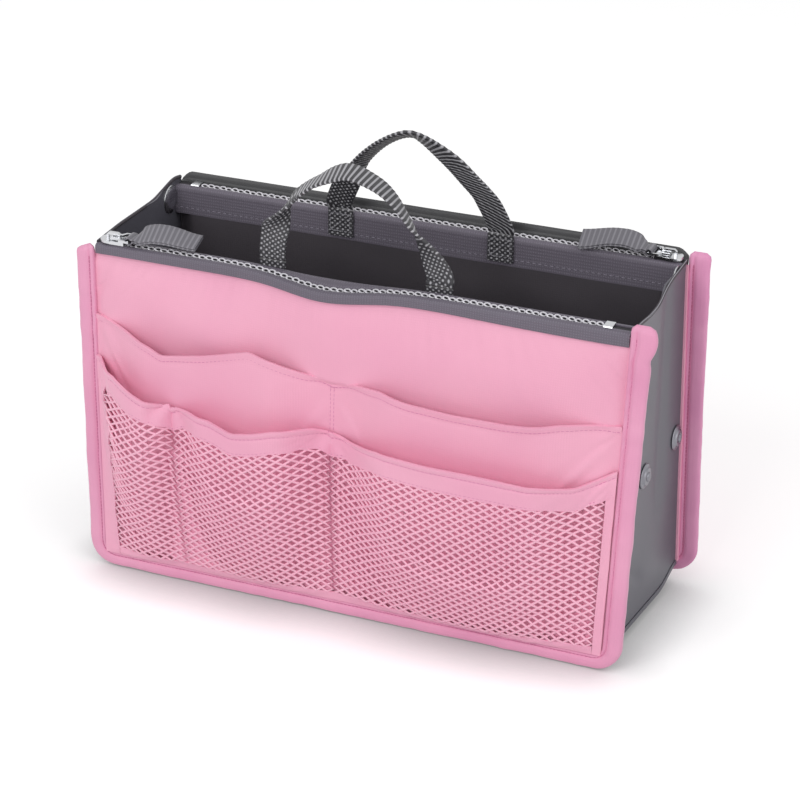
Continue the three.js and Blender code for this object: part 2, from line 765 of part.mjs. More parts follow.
function pocketSheet(seams, perPocket, rowCount, innerFace, lowEdge, highEdge) {
  const height = (x, v) => lowEdge(x) + (highEdge(x) - lowEdge(x)) * v;
  return closedSheet(
    columnsBetween(seams, perPocket),
    spread(0, 1, rowCount),
    (x, v) => [x, innerFace(x, height(x, v)) - fabricThickness, height(x, v)],
    (x, v) => [x, innerFace(x, height(x, v)), height(x, v)],
  );
}

// A pocket front of open net between two seams, with diamond gaps and a closed edge
function netPanel(low, high) {
  const left = low + clearance;
  const right = high - clearance;
  const bottom = panelBottom;
  const top = (x) => lowerEdge(x) - bandHeight - clearance;
  const edgeCount = Math.round((right - left) / netPitchX) * 2;
  const shape = new THREE.Shape();
  shape.moveTo(left, bottom);
  for (const x of spread(left, right, edgeCount)) {
    if (x > left) shape.lineTo(x, bottom);
  }
  for (const x of spread(right, left, edgeCount)) shape.lineTo(x, top(x));
  shape.closePath();

  const halfX = (netPitchX - netStrand) / 2;
  const halfZ = (netPitchZ - netStrand) / 2;
  const clearOf = netSelvedge + halfX;
  const columnCount = Math.floor((right - left - 2 * clearOf) / (netPitchX / 2));
  const firstX = (left + right - columnCount * netPitchX / 2) / 2;
  for (let i = 0; i <= columnCount; i += 1) {
    const x = firstX + i * netPitchX / 2;
    const firstZ = bottom + netSelvedge + halfZ + (i % 2) * netPitchZ / 2;
    const lastZ = Math.min(top(x - halfX), top(x), top(x + halfX)) - netSelvedge - halfZ;
    for (let z = firstZ; z <= lastZ; z += netPitchZ) {
      const gap = new THREE.Path();
      gap.moveTo(x - halfX, z);
      gap.lineTo(x, z + halfZ);
      gap.lineTo(x + halfX, z);
      gap.lineTo(x, z - halfZ);
      gap.closePath();
      shape.holes.push(gap);
    }
  }
  const geometry = fromSolid(toSolid(extrude(shape, netThickness)).refineToLength(netFacet));
  const position = geometry.attributes.position;
  for (let i = 0; i < position.count; i += 1) {
    const x = position.getX(i);
    const z = position.getY(i);
    position.setXYZ(i, x, lowerInnerFace(x, z) - position.getZ(i), z);
  }
  return indexedGeometry(Array.from(position.array), Array.from(geometry.index.array));
}

// Gussets: the fabric ends that let the walls close up, with a top edge that sags a little

function gusset(side, sag) {
  const top = rimHeight - gussetTopBelowRim;
  const shape = new THREE.Shape();
  shape.moveTo(-gussetHalfDepth, layerBottom);
  shape.lineTo(gussetHalfDepth, layerBottom);
  shape.lineTo(gussetHalfDepth, top);
  for (const y of spread(gussetSagY + gussetSagReach, gussetSagY - gussetSagReach, 12)) {
    shape.lineTo(y, top - sag * smooth(1 - Math.abs(y - gussetSagY) / gussetSagReach));
  }
  shape.lineTo(-gussetHalfDepth, top);
  shape.closePath();
  const inner = gussetOuterX - gussetThickness;
  const [x0, x1] = side > 0 ? [inner, gussetOuterX] : [-gussetOuterX, -inner];
  return plain(extrudeAlongX(shape, x0, x1));
}

// Base: a padded slab that is flat where it rests and rolls up to the seams all round

function basePad() {
  const roll = (distance) => 1 - smooth(distance / baseRollMargin);
  const rollSteps = 4;
  const axisStations = (half) => [
    ...spread(-half, -half + baseRollMargin, rollSteps),
    ...spread(half - baseRollMargin, half, rollSteps),
  ];
  const endRoll = (x) => roll(gussetOuterX - Math.abs(x));
  const sideRoll = (y) => roll(gussetHalfDepth - Math.abs(y));
  const under = (x, y) => baseEdgeHeight * Math.max(endRoll(x), sideRoll(y));
  return closedSheet(
    axisStations(gussetOuterX),
    axisStations(gussetHalfDepth),
    (x, y) => [x, y, under(x, y)],
    (x, y) => [x, y, baseTop],
  );
}

function baseLining() {
  const depth = -2 * (innerTapeY + baseLiningSideGap);
  const geometry = new THREE.BoxGeometry(2 * layerHalfWidth, depth, baseLiningThickness);
  geometry.translate(0, 0, layerBottom + baseLiningThickness / 2);
  return geometry;
}

// Press studs: a flange with a boss, dished for the socket half or domed for the stud half

function popper(radius, rise, bossRadius, dimpleRadius, dimple) {
  const profile = [
    [0, 0], [radius, 0], [radius, popperFlange / 2], [radius - popperFlange, popperFlange],
    [bossRadius + popperFlange, popperFlange], [bossRadius, rise], [dimpleRadius, rise], [0, rise - dimple],
  ].map(([r, h]) => new THREE.Vector2(r, h));
  return plain(new THREE.LatheGeometry(profile, popperSegments));
}

function placePopper(name, side, outward, y, z, geometry) {
  const piece = metalPiece(object, name, geometry);
  const face = outward ? gussetOuterX + clearance : gussetOuterX - gussetThickness - clearance;
  piece.position.set(side * face, y, z);
  const axisSign = side * (outward ? 1 : -1);
  piece.rotation.z = -axisSign * Math.PI / 2;
}

// Assembly

const frontHandle = {
  archShares: frontArchShares,
  archHeight: frontHandleHeight,
  legTurns: [-1, -1],
  archSide: 1,
  leanDegrees: 0,
};
const frontWall = buildWall('front', ['front_handle_left_foot', 'front_handle_right_foot'], frontHandle, 0);
fabricPiece(frontWall, 'front_upper_pocket',
  pocketSheet(upperSeams, 18, 9, upperInnerFace, () => panelBottom, upperEdge));
fabricPiece(frontWall, 'front_mesh_band',
  pocketSheet(lowerSeams, 12, 1, lowerInnerFace, (x) => lowerEdge(x) - bandHeight, lowerEdge));
['left', 'middle', 'right'].forEach((place, i) => {
  fabricPiece(frontWall, `front_${place}_net`, netPanel(lowerSeams[i], lowerSeams[i + 1]));
});
object.add(frontWall);

const backHandle = {
  archShares: backArchShares,
  archHeight: backHandleHeight,
  legTurns: [1, -1],
  archSide: -1,
  leanDegrees: backHandleLeanDegrees,
};
const backFeet = ['back_handle_right_foot', 'back_handle_left_foot'];
const backWall = buildWall('back', backFeet, backHandle, backHemRise);
fabricPiece(backWall, 'back_pocket', pocketSheet(backSeams, 14, 6, backInnerFace, () => panelBottom, backEdge));
backWall.rotation.z = Math.PI;
object.add(backWall);

fabricPiece(object, 'bottom_base', basePad(), greyFabric);
fabricPiece(object, 'bottom_lining', baseLining(), darkLining);

for (const [sideName, side, sag] of [['left', -1, leftGussetSag], ['right', 1, rightGussetSag]]) {
  fabricPiece(object, `${sideName}_gusset`, gusset(side, sag), greyFabric);
  const socket = () => popper(popperRadius, popperRise, popperBossRadius, popperDimpleRadius, popperDimple);
  const stud = () => popper(popperRadius, popperRise, popperBossRadius, popperDimpleRadius, -popperDimple);
  placePopper(`${sideName}_front_popper`, side, true, popperFrontY, popperHeight, stud());
  placePopper(`${sideName}_back_popper`, side, true, popperBackY, popperHeight, socket());
  const topDisc = popper(topPopperRadius, topPopperRise, popperBossRadius, popperDimpleRadius, popperDimple / 2);
  placePopper(`${sideName}_top_popper`, side, false, topPopperY, rimHeight - topPopperBelowRim, topDisc);
}

export default object;
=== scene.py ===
"""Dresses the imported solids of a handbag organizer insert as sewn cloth, webbing, zips and press studs.

Lengths are millimetres in the row frame: +X along the front wall, +Y to the back wall, +Z up. A wall is drawn as the
front wall and turned round by its Side. Shares and counts have no unit.
"""

import logging
import math
from dataclasses import dataclass, field
from enum import Enum
from typing import Callable

import bpy
import numpy as np
from mathutils import Matrix, Vector


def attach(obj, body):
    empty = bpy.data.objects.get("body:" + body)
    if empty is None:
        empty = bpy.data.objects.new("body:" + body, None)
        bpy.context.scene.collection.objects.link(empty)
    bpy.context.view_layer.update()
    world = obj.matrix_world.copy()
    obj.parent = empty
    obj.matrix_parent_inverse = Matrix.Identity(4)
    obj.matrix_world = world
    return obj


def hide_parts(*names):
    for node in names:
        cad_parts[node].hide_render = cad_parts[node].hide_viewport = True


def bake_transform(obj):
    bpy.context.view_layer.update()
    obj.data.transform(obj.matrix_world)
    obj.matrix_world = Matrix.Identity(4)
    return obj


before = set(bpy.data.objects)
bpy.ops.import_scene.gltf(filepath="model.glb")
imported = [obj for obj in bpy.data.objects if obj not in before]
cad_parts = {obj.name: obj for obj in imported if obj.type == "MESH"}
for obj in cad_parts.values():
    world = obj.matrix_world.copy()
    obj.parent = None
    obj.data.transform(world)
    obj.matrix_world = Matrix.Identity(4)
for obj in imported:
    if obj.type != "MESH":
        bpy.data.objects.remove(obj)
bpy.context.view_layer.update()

LOG = logging.getLogger("organizer")
MM = 0.001
TINY = 1e-6
# Sizes that several pieces share: heights, places across the insert, and places along it from its middle
RIM, FOOT = 172.0, 8.6
CHAIN_Y, PANEL_Y, GUSSET_HALF = -41.4, -46.0, 43.9
SEAM_X, LINING_HALF = 129.7, 129.6
PANEL_LOW, PANEL_HIGH, PANEL_CROWN = 8.3, 165.0, 4.5
CLEARANCE, FABRIC = 0.3, 1.0
Array = np.ndarray
Object = bpy.types.Object
Tree = bpy.types.NodeTree
Node = bpy.types.Node
Socket = bpy.types.NodeSocket


# Numbers and meshes


def linear(colour: str) -> tuple[float, float, float, float]:
    """Turn six hex digits of sRGB into linear RGBA."""
    channels = [int(colour[i:i + 2], 16) / 255 for i in (0, 2, 4)]
    return (*[c / 12.92 if c <= 0.04045 else ((c + 0.055) / 1.055) ** 2.4 for c in channels], 1.0)


def smooth(t: Array | float) -> Array | float:
    """Ease from 0 to 1 with level ends."""
    c = np.clip(t, 0, 1)
    return c * c * (3 - 2 * c)


def bell(t: Array | float) -> Array | float:
    """Stand at 1 where t is 0 and fade to almost nothing at 2 on both sides."""
    return np.exp(-t ** 2)


def unit(v: Array) -> Array:
    """Scale each vector to a length of one."""
    return v / np.linalg.norm(v, axis=-1, keepdims=True)


def run_along(line: Array) -> Array:
    """Measure how far each point is along its line."""
    return np.concatenate([[0], np.cumsum(np.linalg.norm(np.diff(line, axis=0), axis=1))])


def even(line: Array, spacing: float) -> Array:
    """Step along a line at an even spacing, keeping its two ends.

    Args:
        line: Points of the line.
        spacing: Length of a step.

    Returns:
        The new points.
    """
    run = run_along(line)
    at = np.linspace(0, run[-1], max(2, round(run[-1] / spacing) + 1))
    return np.stack([np.interp(at, run, values) for values in line.T], -1)


def drawn(points: tuple, t: Array, soft: float) -> Array:
    """Read a line through measured points, with its corners rounded.

    Args:
        points: Points (place, value) in rising order.
        t: Where to read it.
        soft: How far a corner's rounding reaches.

    Returns:
        The values at t.
    """
    offsets = np.linspace(-1, 1, 9)
    weights = 1 + np.cos(math.pi * offsets)
    total = sum(w * np.interp(np.asarray(t) + o * soft, *np.transpose(points)) for o, w in zip(offsets, weights))
    return total / weights.sum()


def spline(points: Array, spacing: float) -> Array:
    """Draw a smooth line through points.

    Args:
        points: Points that the line passes through.
        spacing: Step length.

    Returns:
        Points along the line, evenly spaced.
    """
    padded = np.concatenate([[2 * points[0] - points[1]], points, [2 * points[-1] - points[-2]]])
    t = np.linspace(0, 1, 24, endpoint=False)[:, None]
    runs = [0.5 * (2 * p1 + (p2 - p0) * t + (2 * p0 - 5 * p1 + 4 * p2 - p3) * t ** 2
                   + (3 * p1 - p0 - 3 * p2 + p3) * t ** 3)
            for p0, p1, p2, p3 in zip(padded, padded[1:], padded[2:], padded[3:])]
    return even(np.concatenate([*runs, points[-1:]]), spacing)


def ripple(a: Array, b: Array, size: float, seed: int) -> Array:
    """Give a smooth, repeatable unevenness between about -1 and 1.

    Args:
        a: First coordinate on the cloth.
        b: Second coordinate on the cloth.
        size: Width of a typical bump.
        seed: Picks the pattern.

    Returns:
        The unevenness at each point.
    """
    rng = np.random.default_rng(seed)
    total = np.zeros(np.broadcast(a, b).shape)
    for _ in range(7):
        angle = rng.uniform(0, math.tau)
        wave = math.tau / (size * rng.uniform(1.4, 3.2))
        total += np.sin((a * math.cos(angle) + b * math.sin(angle)) * wave + rng.uniform(0, math.tau))
    return total / 4


def folds(x: Array, z: Array, lines: tuple) -> Array:
    """Add up soft folds that fade at their ends.

    Args:
        x: First coordinate on the cloth.
        z: Second coordinate on the cloth.
        lines: Each fold's start, end, half width and height.

    Returns:
        The height at each point.
    """
    total = np.zeros(np.shape(x))
    for start, end, width, height in lines:
        d = np.subtract(end, start)
        length = float(np.hypot(*d))
        along = ((x - start[0]) * d[0] + (z - start[1]) * d[1]) / length
        aside = ((x - start[0]) * d[1] - (z - start[1]) * d[0]) / length
        end_fade = 0.35 * length
        total += height * bell(aside / width) * smooth(along / end_fade) * smooth((length - along) / end_fade)
    return total


def quads(index: Array, wrap: tuple = (0, 0)) -> Array:
    """List the four corners of each cell of a grid, closed round by 1 in wrap's rows or columns."""
    index = np.pad(index, ((0, wrap[0]), (0, wrap[1])), mode="wrap")
    return np.stack([index[:-1, :-1], index[:-1, 1:], index[1:, 1:], index[1:, :-1]], -1).reshape(-1, 4)


def linked(name: str, data: bpy.types.ID) -> Object:
    """Put a new object in the scene."""
    new = bpy.data.objects.new(name, data)
    bpy.context.scene.collection.objects.link(new)
    return new


def mesh_object(name: str, vertices: Array, faces: list, finish: "Finish", uv: Array | None = None,
                sharp_deg: float = 50) -> Object:
    """Make a smooth-shaded mesh whose faces point outwards.

    Args:
        name: Name of the piece.
        vertices: Points, one row each.
        faces: Corner indices of each face.
        finish: What the piece is made of.
        uv: Cloth coordinates, one row for each vertex.
        sharp_deg: Edges that turn more than this stay crisp.

    Returns:
        The object, at the origin.
    """
    mesh = bpy.data.meshes.new(name)
    mesh.from_pydata((vertices * MM).tolist(), [], faces)
    mesh.validate()
    mesh.calc_loop_triangles()
    corners = np.empty(len(mesh.loop_triangles) * 3, int)
    mesh.loop_triangles.foreach_get("vertices", corners)
    a, b, c = vertices[corners.reshape(-1, 3)].transpose(1, 0, 2)
    if np.einsum("ij,ij->", a, np.cross(b, c)) < 0:
        mesh.flip_normals()
    if uv is not None:
        loop_vertices = np.empty(len(mesh.loops), int)
        mesh.loops.foreach_get("vertex_index", loop_vertices)
        mesh.uv_layers.new(name="cloth").data.foreach_set("uv", (uv * MM)[loop_vertices].ravel())
    mesh.polygons.foreach_set("use_smooth", [True] * len(mesh.polygons))
    mesh.set_sharp_from_angle(angle=math.radians(sharp_deg))
    mesh.materials.append(finish.material())
    return linked(name, mesh)


def closed_sheet(name: str, faces: list, finish: "Finish", uv: tuple) -> Object:
    """Make a closed sheet between two faces on the same grid.

    Args:
        name: Name of the piece.
        faces: Points of the two faces, each rows by columns by 3.
        finish: What the piece is made of.
        uv: The two cloth coordinates, each rows by columns.

    Returns:
        The object.
    """
    index = np.arange(uv[0].size).reshape(uv[0].shape)
    front = quads(index)
    loop = np.concatenate([index[0], index[1:, -1], index[-1, -2::-1], index[-2:0:-1, 0]])
    after = np.roll(loop, -1)
    rim = np.stack([after, loop, loop + index.size, after + index.size], -1)
    corners = np.concatenate([front, front[:, ::-1] + index.size, rim]).tolist()
    cloth = np.stack(uv, -1).reshape(-1, 2)
    return mesh_object(name, np.concatenate([f.reshape(-1, 3) for f in faces]), corners, finish, np.tile(cloth, (2, 1)))


def swept(name: str, rings: Array, finish: "Finish", uv: tuple | None = None, sharp_deg: float = 60) -> Object:
    """Make a closed tube through rings of points, with flat ends.

    Args:
        name: Name of the piece.
        rings: Points, rings by points round a ring by 3.
        finish: What the piece is made of.
        uv: The two cloth coordinates, which fill the same grid.
        sharp_deg: Edges that turn more than this stay crisp.

    Returns:
        The object.
    """
    index = np.arange(rings[..., 0].size).reshape(rings.shape[:2])
    faces = [*quads(index, (0, 1)).tolist(), index[0, ::-1].tolist(), index[-1].tolist()]
    cloth = None if uv is None else np.stack(np.broadcast_arrays(*uv), -1).reshape(-1, 2)
    return mesh_object(name, rings.reshape(-1, 3), faces, finish, cloth, sharp_deg)


def lathed(name: str, profile: Array, centre: Array, axis: Array, finish: "Finish") -> Object:
    """Make a round piece by turning a profile about a level axis.

    Args:
        name: Name of the piece.
        profile: Points (radius, height), from the axis round to the axis.
        centre: Where the axis starts.
        axis: Unit direction of rising height.
        finish: What the piece is made of.

    Returns:
        The object.
    """
    steps = 48
    side = unit(np.cross(axis, [0, 0, 1.0]))
    angles = np.arange(steps) * math.tau / steps
    spokes = np.cos(angles)[:, None] * side + np.sin(angles)[:, None] * np.cross(axis, side)
    middle = profile[1:-1]
    rings = centre + middle[:, 1, None, None] * axis + middle[:, 0, None, None] * spokes
    poles = [centre + profile[end, 1] * axis for end in (0, -1)]
    index = np.arange(len(middle) * steps).reshape(len(middle), steps)
    after = np.roll(index, -1, axis=1)
    faces = [*quads(index, (0, 1)).tolist(), *[[index.size, b, a] for a, b in zip(index[0], after[0])],
             *[[index.size + 1, a, b] for a, b in zip(index[-1], after[-1])]]
    return mesh_object(name, np.concatenate([rings.reshape(-1, 3), poles]), faces, finish, None, 35)


@dataclass(frozen=True)
class ClothRun:
    """One run of Blender's cloth: a grid, a little larger than its place, settles where it is sewn."""

    growth: float
    pull: tuple
    cap: float
    frames: int = 20
    stiffness: float = 12.0
    bending: float = 0.15
    weight: float = 0.15
    damping: float = 4.0
    quality: int = 5

    def settle(self, points: Array, sewn: Array) -> Array:
        """Simulate the cloth and keep its result.

        Args:
            points: Rows by columns by 3.
            sewn: True where the cloth is held.

        Returns:
            The settled points.
        """
        scene = bpy.context.scene
        mesh = bpy.data.meshes.new("settling")
        faces = quads(np.arange(sewn.size).reshape(sewn.shape))
        mesh.from_pydata((points.reshape(-1, 3) * MM).tolist(), [], faces.tolist())
        cloth = linked("settling", mesh)
        held = cloth.vertex_groups.new(name="sewn")
        held.add(np.flatnonzero(sewn).tolist(), 1.0, "REPLACE")
        modifier = cloth.modifiers.new("cloth", "CLOTH")
        for rule, value in {
                "quality": self.quality, "mass": self.weight, "tension_stiffness": self.stiffness,
                "compression_stiffness": self.stiffness, "shear_stiffness": self.stiffness / 2,
                "bending_stiffness": self.bending, "air_damping": self.damping, "vertex_group_mass": held.name,
                "shrink_min": -self.growth}.items():
            setattr(modifier.settings, rule, value)
        modifier.collision_settings.use_collision = False
        modifier.point_cache.frame_start, modifier.point_cache.frame_end = 1, self.frames
        level = scene.gravity.copy()
        scene.gravity = self.pull
        for number in range(1, self.frames + 1):
            scene.frame_set(number)
        graph = bpy.context.evaluated_depsgraph_get()
        moved = np.empty(points.size)
        cloth.evaluated_get(graph).data.vertices.foreach_get("co", moved)
        moved = moved.reshape(points.shape) / MM - points
        scene.gravity = level
        scene.frame_set(1)
        bpy.data.objects.remove(cloth)
        far = np.linalg.norm(moved, axis=-1, keepdims=True)
        moved = moved * self.cap * np.tanh(far / self.cap) / np.maximum(far, TINY)
        LOG.info("cloth settled by up to %.1f mm", float(np.linalg.norm(moved, axis=-1).max()))
        return points + moved


# Finishes


def add_node(tree: Tree, kind: str, settings: dict | None = None, inputs: dict | None = None) -> Node:
    """Add a node with its settings, values and links.

    Args:
        tree: The tree that gets the node.
        kind: The node's type name.
        settings: Properties of the node.
        inputs: Socket name or index to a value, or to the output socket that feeds it.

    Returns:
        The node.
    """
    node = tree.nodes.new(kind)
    for key, value in (settings or {}).items():
        setattr(node, key, value)
    for key, value in (inputs or {}).items():
        if isinstance(value, Socket):
            tree.links.new(value, node.inputs[key])
        else:
            node.inputs[key].default_value = value
    return node


def new_material(name: str) -> tuple[bpy.types.Material, Tree]:
    """Start a material with an empty tree.

    Args:
        name: Name of the material.

    Returns:
        The material and its tree.
    """
    material = bpy.data.materials.new(name)
    material.use_nodes = True
    material.node_tree.nodes.clear()
    return material, material.node_tree


def noise(tree: Tree, size: float, detail: float, roughness: float = 0.5) -> Socket:
    """Add a noise on the object's own coordinates.

    Args:
        tree: The material's tree.
        size: Size of its patches.
        detail: How many finer layers it has.
        roughness: How strong the finer layers are.

    Returns:
        The noise's socket.
    """
    place = add_node(tree, "ShaderNodeTexCoord").outputs["Object"]
    return add_node(tree, "ShaderNodeTexNoise", inputs={
        "Vector": place, "Scale": 1 / (size * MM), "Detail": detail, "Roughness": roughness}).outputs["Fac"]


def threads(tree: Tree, pitches: tuple, distortion: float, detail_scale: float) -> Socket:
    """Cross two sets of threads on the cloth's own coordinates.

    Args:
        tree: The material's tree.
        pitches: Distance between threads along each coordinate.
        distortion: How unevenly they run.
        detail_scale: Scale of the unevenness.

    Returns:
        The socket of their height.
    """
    cloth = add_node(tree, "ShaderNodeTexCoord").outputs["UV"]
    waves = [add_node(tree, "ShaderNodeTexWave", {"bands_direction": direction}, {
        "Vector": cloth, "Scale": math.pi / 10 / (pitch * MM), "Distortion": distortion, "Detail": 1.0,
        "Detail Scale": detail_scale}).outputs["Fac"] for direction, pitch in zip("XY", pitches)]
    return maths(tree, "MULTIPLY", *waves)


def maths(tree: Tree, operation: str, *values: Socket | float) -> Socket:
    """Add a sum."""
    return add_node(tree, "ShaderNodeMath", {"operation": operation}, dict(enumerate(values))).outputs[0]


def ranged(tree: Tree, value: Socket, to: tuple, source: tuple = (0.0, 1.0)) -> Socket:
    """Bring a value from one range to another."""
    return add_node(tree, "ShaderNodeMapRange", inputs={
        "Value": value, "From Min": source[0], "From Max": source[1], "To Min": to[0],
        "To Max": to[1]}).outputs["Result"]


def mixed(tree: Tree, share: Socket, first: Socket | str, second: Socket | str) -> Socket:
    """Mix two colours, given as sockets or hex digits."""
    colours = {6 + i: linear(c) if isinstance(c, str) else c for i, c in enumerate((first, second))}
    return add_node(tree, "ShaderNodeMix", {"data_type": "RGBA"}, {"Factor": share, **colours}).outputs[2]


_MATERIALS: dict[str, bpy.types.Material] = {}


@dataclass(frozen=True)
class Finish:
    """A surface: its colours, gloss and the slot that it belongs to."""

    name: str
    colour: str
    shade: str
    slot: str
    roughness: float = 0.6
    metallic: float = 0.0
    sheen: float = 0.0
    mottle_size: float = 45.0
    mottle: float = 0.25
    relief: float = 0.05
    bump: float = 0.6

    def material(self) -> bpy.types.Material:
        """Build the material once and give it out again after that."""
        if self.name not in _MATERIALS:
            material, tree = new_material(self.name)
            shader = add_node(tree, "ShaderNodeBsdfPrincipled", inputs={
                "Roughness": self.roughness, "Metallic": self.metallic, "Sheen Weight": self.sheen})
            add_node(tree, "ShaderNodeOutputMaterial", inputs={"Surface": shader.outputs[0]})
            broad = noise(tree, self.mottle_size, 3.0)
            patches = ranged(tree, broad, (0.0, self.mottle), (0.35, 0.7))
            base, height = self.pattern(tree, shader, mixed(tree, patches, self.colour, self.shade))
            raised = add_node(tree, "ShaderNodeBump", inputs={
                "Strength": self.bump, "Distance": self.relief * MM, "Height": height})
            tree.links.new(base, shader.inputs["Base Color"])
            tree.links.new(raised.outputs["Normal"], shader.inputs["Normal"])
            _MATERIALS[self.name] = material
        return _MATERIALS[self.name]

    def pattern(self, tree: Tree, shader: Node, mottled: Socket) -> tuple[Socket, Socket]:
        """Draw what the surface shows close to; each kind of finish has its own way.

        Args:
            tree: The material's tree.
            shader: The shader, for what else varies.
            mottled: The colour in broad soft patches, as dyed and handled cloth shows.

        Returns:
            The sockets of the base colour and the height.
        """
        raise NotImplementedError


@dataclass(frozen=True)
class WovenNylon(Finish):
    """Plain-woven nylon. The threads cross at a fine even pitch, drawn coarser than life so that they show, with
    painted shade in the gaps between them.
    """

    thread: float = 1.1
    lint: float = 7.0
    # Share of painted shade in the gaps between the threads
    contrast: float = 0.12

    def pattern(self, tree: Tree, shader: Node, mottled: Socket) -> tuple[Socket, Socket]:
        """Cross two sets of threads and paint shade in the gaps between them."""
        weave = threads(tree, (self.thread, self.thread), 0.4, 0.3)
        height = maths(tree, "MULTIPLY_ADD", noise(tree, self.lint, 6.0, 0.7), 3.0, weave)
        return mixed(tree, ranged(tree, weave, (self.contrast, 0.0)), mottled, self.shade), height


@dataclass(frozen=True)
class RibbedTape(Finish):
    """Woven tape or webbing. Ribs run across it, with a painted highlight on their crowns and the tape's own darker
    colour between them.
    """

    relief: float = 0.15
    bump: float = 0.8
    rib: float = 2.0
    warp: float = 1.3
    # Colour of the painted highlight on the rib crowns, and how much of it they take
    crown: str = "B9B8BE"
    crown_share: float = 0.5

    def pattern(self, tree: Tree, shader: Node, mottled: Socket) -> tuple[Socket, Socket]:
        """Lay ribs across the tape and finer warp threads along it, with a painted highlight on the rib crowns."""
        crowns = threads(tree, (self.rib, self.warp), 0.7, 0.5)
        return mixed(tree, ranged(tree, crowns, (0.0, self.crown_share), (0.25, 0.8)), mottled, self.crown), crowns


@dataclass(frozen=True)
class SmoothFinish(Finish):
    """Plated metal or drawn nylon: even, with fine handling marks in its gloss."""

    relief: float = 0.02
    bump: float = 0.3
    mark: float = 2.0

    def pattern(self, tree: Tree, shader: Node, mottled: Socket) -> tuple[Socket, Socket]:
        """Vary the gloss and the surface a little."""
        marks = noise(tree, self.mark, 5.0)
        gloss = ranged(tree, marks, (self.roughness * 0.7, self.roughness * 1.5))
        tree.links.new(gloss, shader.inputs["Roughness"])
        return mottled, marks


# Soft dyed nylon taffeta: even and matt, darker in broad random patches, with painted shade between its threads
PINK_NYLON = WovenNylon("pink nylon taffeta", "F4B0C8", "E08FB3", "pink_nylon", 0.6, sheen=0.2)
# Folded bias strip of the same cloth, painted a little deeper in colour than the panel as shade on the flange
PINK_BINDING = WovenNylon("pink nylon binding", "EDA7C5", "D681AC", "pink_nylon", 0.55, sheen=0.2, mottle=0.4)
# The same strip on the far wall, painted deeper and more magenta as the shade that lies on it
SHADED_BINDING = WovenNylon("shaded pink nylon binding", "F2AACD", "D07CAD", "pink_nylon", 0.55, sheen=0.2, mottle=0.7)
# Hemmed band and borders round the net: the taffeta, double, painted a touch paler as light against the shade on the
# band, which faces a little down
PINK_BORDER = WovenNylon("pale pink nylon border", "F4B1C9", "E391B5", "pink_nylon", 0.6, sheen=0.2)
# Knitted polyester net: thin round strands with a slight gloss
PINK_NET = SmoothFinish("pink polyester net", "FABED3", "EFA6C3", "pink_net", 0.5)
# Polyurethane-coated nylon: darker, flatter and slightly glossy, with only faint painted shade between its threads
GREY_NYLON = WovenNylon("grey coated nylon", "5E5D66", "4E4D55", "grey_nylon", 0.42, thread=1.0, relief=0.02,
                        contrast=0.04)
# Thin lining cloth, nearly black in the depth of the insert
DARK_LINING = WovenNylon("dark polyester lining", "484349", "302C31", "dark_lining", 0.7)
# Herringbone zip tape, with a painted highlight on its rib crowns
ZIP_TAPE = RibbedTape("grey zip tape", "69636F", "56515C", "zip_tape", 0.65, rib=1.2, warp=1.6, crown="918B98",
                      crown_share=0.3)
# Coated hem that stands up behind the far zip
DARK_HEM = WovenNylon("dark grey coated hem", "454547", "323235", "zip_tape", 0.5, thread=1.0, relief=0.02)
# Dark strip under the teeth, which stands for the coil's core and paints the shade between its loops, so that they
# stand out
ZIP_SHADE_BED = SmoothFinish("painted shade under the teeth", "29262C", "1D1B20", "zip_tape", 0.7)
# Polypropylene webbing: coarse ribs that catch the light, with a painted highlight on their crowns
WEBBING = RibbedTape("grey ribbed webbing", "38373B", "2A292D", "webbing", 0.5, rib=2.5, warp=2.5, crown="B4B3B8",
                     crown_share=0.95)
# The same weave in a lighter, narrower tape on the zip pulls, with a painted highlight on its rib crowns
PULL_WEBBING = RibbedTape("light ribbed pull tape", "6C6A71", "5B5960", "webbing", 0.5, rib=2.4, warp=2.4,
                          crown="918F96", crown_share=0.7)
# Drawn nylon filament with a silvery coat
ZIP_TEETH = SmoothFinish("silvery nylon teeth", "E4E2E8", "BFBCC6", "zip_coil", 0.3)
# Nickel plate, bright and slightly soft
NICKEL = SmoothFinish("bright nickel plate", "C9CACD", "A6A7AB", "bright_metal", 0.2, metallic=1.0)
# Press studs with a dull grey coat like the cloth round them
GUNMETAL = SmoothFinish("dull grey stud coat", "8A8990", "6F6E75", "popper_metal", 0.36, metallic=1.0)
# Spun polyester threads, in the shades of the cloth they hold
PINK_THREAD = SmoothFinish("pink sewing thread", "DA8DB2", "C9779F", "pink_nylon", 0.7)
SEAM_THREAD = SmoothFinish("deep pink seam thread", "CF7BA1", "BC688F", "pink_nylon", 0.7)
TAPE_THREAD = SmoothFinish("grey tape thread", "8C8693", "77717E", "zip_tape", 0.7)
GREY_THREAD = SmoothFinish("pale webbing thread", "8F8D94", "77757C", "webbing", 0.7)
# Pale cord along the gusset's top: a painted highlight on its folded edge
HIGHLIGHT_EDGE = SmoothFinish("painted highlight on the gusset edge", "A3A2A9", "8D8C93", "grey_nylon", 0.6)


# How a piece joins the model


